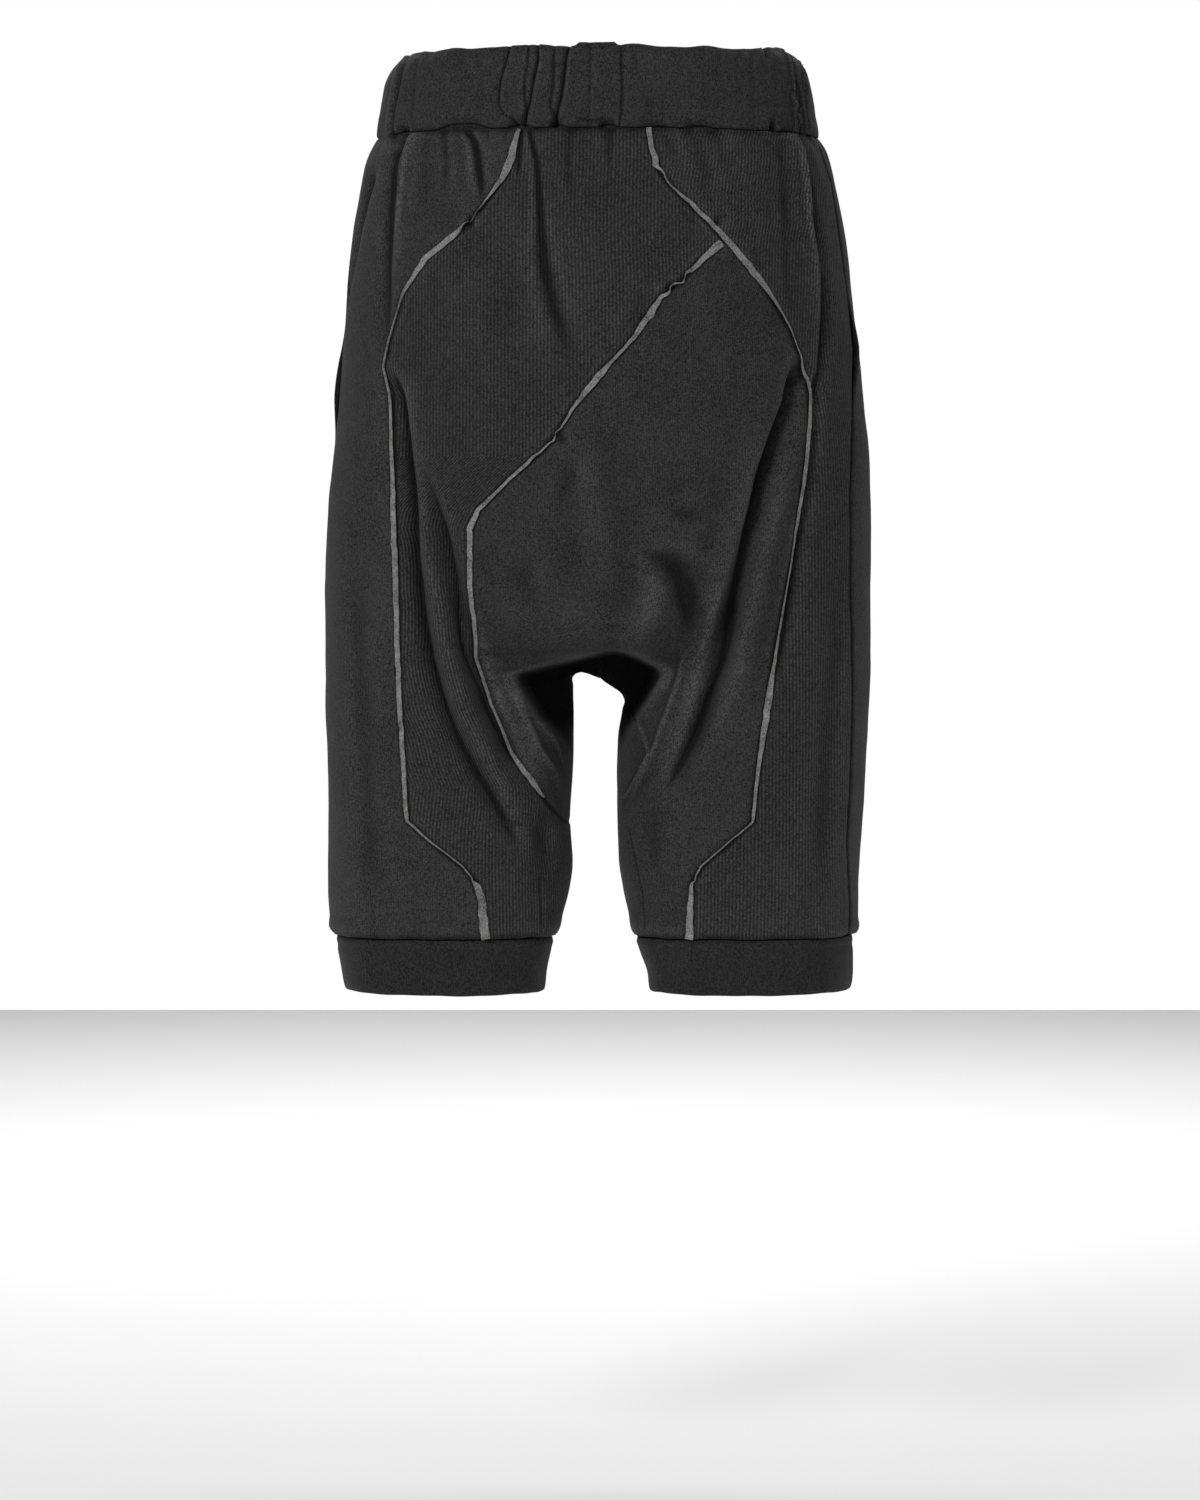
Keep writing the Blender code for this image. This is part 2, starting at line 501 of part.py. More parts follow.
def seat_panel():
    """The plain seat: one grid down to the crotch, then a strip down each leg, parted at the middle column."""
    rows = ROWS[(ROWS <= TIP_TOP)]
    first = edge_turns(right_line, HALF)[ROWS <= TIP_TOP]
    last = edge_turns(cross_line, -HALF)[ROWS <= TIP_TOP]
    last[0] = first[0] + TIP_WIDTH
    split, columns = 10, 15
    turns = spread(first, last, columns)
    parted = np.empty(turns.shape)
    parted[:, :split + 1] = spread(first, 0 * first, split)
    parted[:, split:] = spread(0 * last, np.maximum(last, TIP_WIDTH), columns - split)
    share = smooth((-225 - rows) / 130)[:, None]
    turns = turns * (1 - share) + parted * share
    legs = rows < CROTCH
    gap = edge_turns(middle, HALF)[ROWS <= TIP_TOP]
    turns[legs, split] = -gap[legs]
    keep = rows >= TIP_LOW
    reach = np.maximum(last, gap + TIP_WIDTH)[:, None]
    sliver = turns[:, split:].copy()
    even = np.linspace(0, 1, columns + 1 - split)
    sliver[legs] = (gap[:, None] * (1 - even) + reach * even)[legs]
    ids = np.arange(turns[:, :split + 1].size).reshape(-1, split + 1)
    side_ids = ids.size + np.arange(sliver.size).reshape(sliver.shape)
    side_ids[~legs, 0] = ids[~legs, split]
    all_turns = np.concatenate([turns[:, :split + 1].ravel(), sliver.ravel()])
    all_rows = np.concatenate([np.repeat(rows, split + 1), np.repeat(rows, sliver.shape[1])])
    quads = np.concatenate([grid_quads(ids), grid_quads(side_ids[keep])])
    used, quads = np.unique(quads, return_inverse=True)
    outer, inner = wall_points(all_turns[used], all_rows[used])
    add_shell("back_seat", outer, inner, quads.reshape(-1, 4), jersey)
    for name, part in (("back_seat_right", turns[:, :split + 1]), ("back_seat_left", sliver)):
        heights = np.repeat(rows, part.shape[1])
        out, into = wall_points(part.ravel(), heights)
        absent = np.zeros((tip_row, part.shape[1], 3))
        out = np.concatenate([absent, out.reshape(*part.shape, 3)])
        into = np.concatenate([absent, into.reshape(*part.shape, 3)])
        GRIDS[name] = (out, (out - into) / WALL)


seat_panel()

# ---- fronts, plain, from each side seam to the middle front seam and the inseam ----
add_panel("front_left", edge_turns(SIDE_LEFT, HALF), edge_turns(front, -HALF), 12, ROWS, jersey)
add_panel("front_right", edge_turns(-front, HALF), edge_turns(SIDE_RIGHT, -HALF), 12, ROWS, jersey)


def add_bag(name, sign):
    """A pocket bag lying flat inside its front panel, its back edge carried behind the mouth as the facing."""
    inside = (ROWS <= BAG_TOP) & (ROWS >= BAG_LOW)
    rows = ROWS[inside]
    panel = np.abs(TURNS["front_left" if sign > 0 else "front_right"])[inside]
    panel = np.sort(panel, axis=1)[:, :5]
    turns = np.concatenate([panel[:, :1] - 0.012, panel], axis=1) * sign
    heights = np.broadcast_to(rows[:, None], turns.shape)
    points = cloth(turns.ravel(), heights.ravel(), 0.0)
    normal = cloth_normal(turns.ravel(), heights.ravel(), 0.0)
    outer = points - normal * (WALL / 2 + BAG_LIFT)
    inner = outer - normal * BAG_THICK
    ids = np.arange(turns.size).reshape(turns.shape)
    if sign < 0:
        ids = ids[:, ::-1]
    add_shell(name, outer, inner, grid_quads(ids), bag_cloth)


add_bag("pocket_bag_left", 1)
add_bag("pocket_bag_right", -1)


def add_strip(name, right_panel, left_panel, rows, right_width, left_width):
    """A raw edge lying along a seam: at every row it runs from a point on one panel to a point on the other."""
    sections = []
    for row in rows:
        right_outer, right_normal = GRIDS[right_panel]
        left_outer, left_normal = GRIDS[left_panel]
        seam = (right_outer[row, -1] + left_outer[row, 0]) / 2
        out = right_normal[row, -1] + left_normal[row, 0]
        out /= np.linalg.norm(out)
        toward_right = right_outer[row, -2] - right_outer[row, -1]
        toward_left = left_outer[row, 1] - left_outer[row, 0]
        a = seam + toward_right / np.linalg.norm(toward_right) * right_width(row)
        c = seam + toward_left / np.linalg.norm(toward_left) * left_width(row)
        low = out * STRIP_LIFT
        high = out * (STRIP_LIFT + STRIP_THICK)
        sections.append([a + low, a + high, seam + high, c + high, c + low, seam + low])
    points = np.array(sections).reshape(-1, 3)
    count = 6
    ids = np.arange(len(points)).reshape(-1, count)
    here, there = ids, np.roll(ids, -1, axis=1)
    sides = np.stack([here[:-1], there[:-1], there[1:], here[1:]], axis=-1).reshape(-1, 4)
    ends = [(5, 2, 1, 0), (5, 4, 3, 2)]
    caps = [[ids[0, i] for i in end] for end in ends] + [[ids[-1, i] for i in end[::-1]] for end in ends]
    add_object(name, points, sides.tolist() + caps, raw)


def width_by_height(*pairs):
    """A width in mm at a row, by straight lines between (z, width) pairs from the top down."""
    table = np.array(pairs, float)[::-1]
    return lambda row: np.interp(ROWS[row], table[:, 0], table[:, 1])


# ---- waistband: a ring folded over elastic, drawn up in uneven gathers ----
BAND_COLUMNS = 112
# z and how far the surface stands off the body's own, mm, going down the outside and up the inside
BAND_SECTION = (
    (BAND_TOP, -1.2), (28.6, 0.6), (20, 1.8), (6, 2.4), (-8, 2.6), (-20, 2.2), (-27, 0.9), (BAND_BOTTOM, -1.2),
    (-27, -3.0), (-8, -2.6), (14, -2.6), (28.6, -3.0),
)


def gather_push(turn, z):
    """How far the gathers draw the band in: each a bell across a line that leans as it runs down."""
    push = np.zeros(np.shape(turn))
    pace = first_normal(turn, np.zeros(np.shape(turn)))[1]
    for face, table in (("back", BACK_GATHERS), ("front", FRONT_GATHERS)):
        for x, depth, width, lean in table:
            line = turn_at(np.array([x + lean / 2, x - lean / 2], float), np.array([-28.0, 28.0]), face)
            centre = line[1] + (line[0] - line[1]) * (BAND_TOP - z) / (BAND_TOP - BAND_BOTTOM)
            push += depth * np.exp(-(((turn - centre) * pace / width) ** 2))
    return push


def add_band():
    turns = np.linspace(-1, 1, BAND_COLUMNS + 1)[:-1]
    section = np.array(BAND_SECTION, float)
    turn, z = np.meshgrid(turns, section[:, 0])
    stand = np.broadcast_to(section[:, 1:2], turn.shape)
    turn, z = turn.ravel(), z.ravel()
    normal = first_normal(turn, z)[0]
    inside = stand.ravel() < -2
    push = gather_push(turn, z) * np.where(inside, 0.75, 1.0)
    points = base(turn, z) + normal * (stand.ravel() - push)[:, None]
    points[:, 2] = z
    ids = np.arange(len(points)).reshape(len(section), -1)
    below = np.roll(ids, -1, axis=0)
    quads = np.stack([ids, np.roll(ids, -1, axis=1), np.roll(below, -1, axis=1), below], axis=-1).reshape(-1, 4)
    add_object("waistband", points, quads.tolist(), jersey)


add_band()

# ---- cuffs: a ring of doubled knit on each leg ----
CUFF_COLUMNS = 44
CUFF_SECTION = (        # z, stand-off from the body's own surface, mm
    (-636.2, 0.0), (-637.6, 1.6), (-650, 2.0), (-665, 1.9), (-676.6, 1.7), (-678.0, 0.0), (-676.6, -1.8),
    (-657, -1.6), (-637.6, -1.8),
)


def add_cuff(name, sign):
    turns = np.linspace(0, 1, CUFF_COLUMNS + 1)[:-1] * sign
    if sign < 0:
        turns[0] = -1e-9
    section = np.array(CUFF_SECTION, float)
    turn, z = np.meshgrid(turns, section[:, 0])
    stand = np.broadcast_to(section[:, 1:2], turn.shape).ravel()
    turn, z = turn.ravel(), z.ravel()
    normal = first_normal(turn, np.full(z.shape, -660.0))[0]
    points = base(turn, np.minimum(z, -642.0)) + normal * stand[:, None]
    points[:, 2] = z
    ids = np.arange(len(points)).reshape(len(section), -1)
    if sign < 0:
        ids = ids[:, ::-1]
    below = np.roll(ids, -1, axis=0)
    quads = np.stack([ids, np.roll(ids, -1, axis=1), np.roll(below, -1, axis=1), below], axis=-1).reshape(-1, 4)
    add_object(name, points, quads.tolist(), jersey)


add_cuff("cuff_left", 1)
add_cuff("cuff_right", -1)

# ---- raw seam edges, lying outside along the three back seams ----
rows_all = list(range(len(ROWS)))
cross_end = int(np.flatnonzero(ROWS == -534)[0])
GRIDS["right_seam_left"] = tuple(
    np.concatenate([high[:tip_row, :2], low[tip_row:, :2]])
    for high, low in zip(GRIDS["back_centre_rib"], GRIDS["back_seat_right"])
)
add_strip(
    "seam_edge_left", "back_centre_rib", "back_side_left", rows_all,
    width_by_height((-29, 1.0), (-60, 3.2), (-97, 1.2), (-114, 2.6), (-150, 2.6), (-190, 1.0), (-300, 1.6),
                    (-540, 1.6), (-590, 1.4), (-636, 3.4)),
    width_by_height((-29, 1.4), (-60, 2.4), (-97, 1.4), (-130, 2.4), (-190, 1.2), (-300, 1.6),
                    (-540, 1.8), (-590, 2.0), (-636, 3.6)),
)
add_strip(
    "seam_edge_right", "back_side_right", "right_seam_left", rows_all,
    width_by_height((-29, 1.4), (-60, 2.0), (-97, 1.2), (-130, 2.6), (-170, 2.4), (-200, 1.2), (-300, 1.4),
                    (-545, 1.4), (-590, 2.0), (-636, 3.4)),
    width_by_height((-29, 1.4), (-60, 1.4), (-97, 1.6), (-130, 2.6), (-170, 2.0), (-200, 1.2), (-300, 1.8),
                    (-545, 1.4), (-590, 1.4), (-636, 3.0)),
)
add_strip(
    "seam_edge_cross", "back_seat_left", "back_centre_rib", rows_all[tip_row + 1:cross_end + 1],
    width_by_height((-114, 3.4), (-160, 2.0), (-190, 2.6), (-240, 2.4), (-262, 1.2), (-300, 1.6), (-330, 1.6),
                    (-350, 2.4), (-420, 1.6), (-480, 1.2), (-530, 1.0)),
    width_by_height((-114, 3.6), (-160, 1.4), (-190, 2.8), (-240, 2.2), (-262, 1.4), (-300, 1.6), (-330, 1.6),
                    (-350, 2.8), (-420, 1.8), (-480, 1.6), (-530, 1.6)),
)
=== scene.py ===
"""Drop-crotch shorts of charcoal knit, open as worn and seen from behind.

Tables are in mm and meshes in metres, +Z up. The back faces +Y and the wearer's left is +X.
"""

import bpy
import numpy as np
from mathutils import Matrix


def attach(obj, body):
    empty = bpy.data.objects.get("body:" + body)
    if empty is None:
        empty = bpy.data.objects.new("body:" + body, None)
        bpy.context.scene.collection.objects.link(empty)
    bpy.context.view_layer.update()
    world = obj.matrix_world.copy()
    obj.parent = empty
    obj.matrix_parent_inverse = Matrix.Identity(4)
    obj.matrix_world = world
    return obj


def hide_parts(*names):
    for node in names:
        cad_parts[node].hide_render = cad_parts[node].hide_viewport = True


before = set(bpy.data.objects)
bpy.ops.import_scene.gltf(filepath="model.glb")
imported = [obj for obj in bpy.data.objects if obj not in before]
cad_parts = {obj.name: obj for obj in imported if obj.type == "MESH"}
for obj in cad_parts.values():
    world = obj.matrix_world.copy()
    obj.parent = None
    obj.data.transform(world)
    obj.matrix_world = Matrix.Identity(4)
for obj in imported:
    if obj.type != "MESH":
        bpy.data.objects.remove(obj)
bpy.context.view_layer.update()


# ---------------------------------------------------------------------------------------------------------
# The two fronts: plain charcoal jersey, each cut in one piece from the side seam to the middle of the front
# and down the inseam. They carry the front edge of each pocket. All panels share the worn form below.
# ---------------------------------------------------------------------------------------------------------
WALL = 1.9                  # thickness of the knit
PANEL_TOP, CROTCH, PANEL_BOTTOM, HEM = -29.2, -446.0, -635.6, -678.0      # heights, mm from the waist mount
SILHOUETTE = {
    "z":     (34, 26, 14, 0, -15, -27, -38, -51, -67, -98, -151, -190, -235, -266, -304, -342, -396, -458,
              -496, -534, -573, -604, -622, -635, -640, -650, -664, -678),
    "left":  (149, 155, 161, 164, 167, 170.5, 175.5, 180, 183, 188.5, 194, 196.5, 200, 203, 207.5, 209.5,
              210.5, 210.5, 209, 208.5, 208.5, 208.5, 207.5, 206.5, 201, 199, 196.5, 194.5),
    "right": (148, 153.5, 157.5, 160.5, 163, 167, 173, 177, 180.5, 186.5, 193, 198, 202, 206, 207, 207, 207,
              206, 204, 202, 199.5, 198, 198, 197.5, 192.5, 192, 192, 191),
}
TRUNK = {
    "z":     (34, -29, -45, -65, -98, -151, -190, -235, -266, -304, -342, -396, -450),
    "back":  (109, 111, 117, 123, 132, 141, 144, 143, 140, 136, 131, 125, 121),
    "front": (109, 111, 116, 119, 123, 126, 127, 127, 126, 124, 121, 117, 114),
}
MIDDLE = {
    "z":     (34, -29, -45, -65, -98, -151, -190, -235, -266, -304, -342, -375, -400, -411, -417, -421,
              -425, -430, -437, -442, -446, -449, -453, -462, -480, -510, -547, -587, -603, -618, -633,
              -640, -650, -664, -678),
    "back":  (109, 111, 117, 123, 132, 141, 144, 143, 140, 136, 132, 128, 124, 118, 109, 96, 76, 52, 26, 12,
              4, 2, 1, 2, 6, 12, 18, 24, 27, 30, 32, 32, 32, 32, 32),
    "front": (-109, -111, -116, -119, -123, -126, -127, -127, -126, -124, -121, -116, -108, -101, -94, -86,
              -76, -60, -34, -14, 4, 2, 1, 2, 6, 12, 18, 24, 27, 30, 32, 32, 32, 32, 32),
    "left":  (0, 0, 0, 0, 0, 0, 0, 0, 0, 0, 0, 0, 0, 0, 0, 0, 0, 0, 0, 0, 0, 14, 20, 20.5, 20, 20.5, 23, 21,
              23.5, 27.5, 31.5, 37, 40, 43, 44),
    "right": (0, 0, 0, 0, 0, 0, 0, 0, 0, 0, 0, 0, 0, 0, 0, 0, 0, 0, 0, 0, 0, 13.5, 18, 17, 14, 13, 13.5, 15,
              18, 21.5, 24, 29, 33, 38, 39),
}
LEG = {
    "z":         (-200, -304, -396, -447, -496, -547, -587, -614, -633, -640, -678),
    "back":      (120, 122, 120, 118, 115, 111, 107, 103, 99, 96, 95),
    "front":     (-112, -113, -112, -110, -108, -105, -102, -100, -97, -95, -94),
    "mid_left":  (112, 112, 113, 114, 114, 115, 116, 118, 119, 120, 120),
    "mid_right": (110, 110, 110, 110, 109, 108, 108, 110, 112, 114, 115),
}
RING = 8                    # control points on each half, from mid-back to mid-front


def smooth(t):
    """0 to 1 with no kink at either end: 3t^2 - 2t^3."""
    t = np.clip(t, 0.0, 1.0)
    return t * t * (3.0 - 2.0 * t)


def unit(vectors):
    """Vectors scaled to length 1: v / |v|."""
    return vectors / np.maximum(np.linalg.norm(vectors, axis=-1, keepdims=True), 1e-9)


def far_along(points, axis):
    """Distance run down (axis 0) or across (axis 1) a grid of points: its steps added up from the edge."""
    steps = np.diff(points, axis=axis, prepend=np.take(points, [0], axis))
    return np.cumsum(np.linalg.norm(steps, axis=-1), axis=axis)


def column(table, name, z):
    """One column of a height table at any height, by Hermite curves between its rows."""
    rows = np.array(table["z"], float)[::-1]
    values = np.array(table[name], float)[::-1]
    slopes = np.gradient(values, rows)
    level = np.diff(values) == 0
    slopes[np.append(False, level) | np.append(level, False)] = 0.0
    z = np.clip(z, rows[0], rows[-1])
    i = np.clip(np.searchsorted(rows, z) - 1, 0, len(rows) - 2)
    step = rows[i + 1] - rows[i]
    t = (z - rows[i]) / step
    start = values[i] * (1 + 2 * t) * (1 - t) ** 2 + slopes[i] * step * t * (1 - t) ** 2
    return start + values[i + 1] * t * t * (3 - 2 * t) - slopes[i + 1] * step * t * t * (1 - t)


def ring_point(k, z, side):
    """Control point k of one half at height z: the trunk's oval above, blending into the leg's oval below."""
    name = "left" if side > 0 else "right"
    width = column(SILHOUETTE, name, z)
    if k in (0, RING):
        return column(MIDDLE, name, z), column(MIDDLE, "back" if k == 0 else "front", z)
    face = "back" if k <= RING / 2 else "front"
    turn = np.pi * k / RING
    trunk_x = width * np.sin(turn) ** 0.92
    depth = column(TRUNK, face, z) * (1 if face == "back" else -1)
    trunk_y = 0.0 * z if k == RING / 2 else depth * np.abs(np.cos(turn)) ** 0.92
    centre, far = column(LEG, "mid_" + name, z), column(LEG, face, z)
    inner_x = column(MIDDLE, name, np.minimum(z, -462.0))
    inner_y = column(MIDDLE, face, np.minimum(z, CROTCH))
    turn = 2 * np.pi * k / RING - np.pi / 2
    outward = np.sin(turn) > 0
    reach = width - centre if outward else centre - inner_x
    leg_x = centre + reach * np.sign(np.sin(turn)) * np.abs(np.sin(turn)) ** 0.88
    rest = 0.0 * z if outward else inner_y
    share = np.abs(np.cos(turn)) ** 0.88 if abs(np.cos(turn)) > 1e-9 else 0.0
    leg_y = rest + (far - rest) * share
    start, end = (-372.0, -478.0) if k in (1, RING - 1) else (-210.0, -455.0)
    mix = smooth((start - z) / (start - end))
    return trunk_x + (leg_x - trunk_x) * mix, trunk_y + (leg_y - trunk_y) * mix


def worn_form(turn, z):
    """The smooth body, mm, by a Catmull-Rom curve through the control points at each height.

    turn runs from 0 (mid-back, or inseam) to 1 (mid-front, or inseam), minus on the right. Between the legs
    the level rows tilt, so that the pouch's lower edge falls away to both sides.
    """
    turn, z = np.broadcast_arrays(np.asarray(turn, float), np.asarray(z, float))
    made = np.empty(turn.shape + (3,))
    for side in (1, -1):
        here = (turn >= 0) if side > 0 else (turn < 0)
        if not here.any():
            continue
        u, h = np.clip(np.abs(turn[here]), 0, 1) * RING, z[here]
        points = [np.stack(ring_point(k, h, side), axis=-1) for k in range(RING + 1)]
        opened = smooth((CROTCH + 30 - h) / 31)[:, None]
        mirror = np.array([-1.0, 1.0])
        before = points[1] * mirror * (1 - opened) + points[RING - 1] * opened
        after = points[RING - 1] * mirror * (1 - opened) + points[1] * opened
        net = np.stack([before, *points, after], axis=1)
        k = np.clip(np.floor(u).astype(int), 0, RING - 1)
        t = (u - k)[:, None]
        a, b, c, d = (net[np.arange(len(u)), k + n] for n in range(4))
        flat = b + 0.5 * t * (c - a + t * (2 * a - 5 * b + 4 * c - d + t * (3 * (b - c) + d - a)))
        x = flat[:, 0] * side
        fade = smooth((-405 - h) / 30) * smooth((h + 520) / 55)
        near = np.exp(-((x / 40) ** 2)) * (1 - smooth((flat[:, 1] - 25) / 60))
        tilt = (np.where(x > 0, 0.66, 0.48) * x + 5.5) * fade * near
        made[here] = np.stack([x, flat[:, 1], h + tilt], axis=-1)
    return made


def form_normal(turn, z):
    """Outward unit normal of the smooth body by small steps, and its length per unit of turn."""
    u, side = np.abs(turn), np.where(turn < 0, -1.0, 1.0)
    low, high = side * np.clip(u - 0.004, 1e-6, 1), side * np.clip(u + 0.004, 1e-6, 1)
    along = (worn_form(high, z) - worn_form(low, z)) / (np.abs(high) - np.abs(low))[..., None]
    normal = np.cross(along, worn_form(turn, z - 1.0) - worn_form(turn, z + 1.0)) * side[..., None]
    return unit(normal), np.linalg.norm(along, axis=-1)


HEIGHTS = np.arange(-680.0, 36.0, 2.0)
LATTICE_TURNS = np.linspace(0, 1, 161)
LATTICE = {}                # how far out the smooth body is at those heights and turns, on each side
for side in (1, -1):
    LATTICE[side] = np.abs(worn_form(side * np.maximum(LATTICE_TURNS, 1e-9), HEIGHTS[:, None])[..., 0])


def traced(path, face="back"):
    """A seam or fold given by (x, z), as its turn at every height: the turn whose point lies at that x."""
    path = np.array(path, float)[::-1]
    x = np.interp(HEIGHTS, path[:, 1], path[:, 0])
    half = slice(0, 81) if face == "back" else slice(160, 79, -1)
    turns = [
        np.interp(abs(v), LATTICE[1 if v >= 0 else -1][row, half], LATTICE_TURNS[half])
        for row, v in enumerate(x)
    ]
    return np.where(x < 0, -1.0, 1.0) * np.array(turns)


def at_turn(x, z, face):
    """The turn of one spot given by (x, z)."""
    return float(np.interp(z, HEIGHTS, traced(((x, z + 1), (x, z - 1)), face)))


# seams seen from behind: (x, z) down each line, +x to the wearer's left
LEFT_SEAM = traced((
    (60, -28), (65, -50), (70, -64), (79, -77), (88, -89), (104, -107), (130, -126), (147, -152),
    (158, -187), (161, -206), (161, -224), (157, -296), (153, -379), (149, -465), (144, -546), (127, -562),
    (103, -580), (93, -592), (89, -603), (86, -637),
))
RIGHT_SEAM = traced((
    (-36, -28), (-38, -44), (-43, -60), (-52, -73), (-77, -97), (-100, -121), (-122, -147), (-142, -180),
    (-157, -217), (-158, -228), (-157, -250), (-146, -338), (-130.5, -422), (-118.5, -503), (-114, -547),
    (-92, -567), (-76, -580), (-69, -592), (-67, -637),
))
CROSS_SEAM = traced((
    (-92, -114), (-80, -125), (-59, -146), (-45, -157), (-27, -185), (-4, -210), (20, -239), (31, -257),
    (44, -272), (67, -291), (90, -314), (97, -328), (97, -373), (90, -422), (78, -460), (60, -497),
    (45, -526), (30, -545), (20, -552),
))
SIDE_LEFT = np.full(HEIGHTS.shape, 0.485)
SIDE_RIGHT = traced((
    (-164, -28), (-176, -65), (-188, -150), (-192, -190), (-191, -250), (-189, -300), (-190, -379),
    (-191, -460), (-190, -511), (-187, -565), (-190, -612), (-190, -636),
))
MIDDLE_BACK, MIDDLE_FRONT = np.zeros(HEIGHTS.shape), np.ones(HEIGHTS.shape)
TIP_TOP, TIP_LOW = -114.0, -552.0

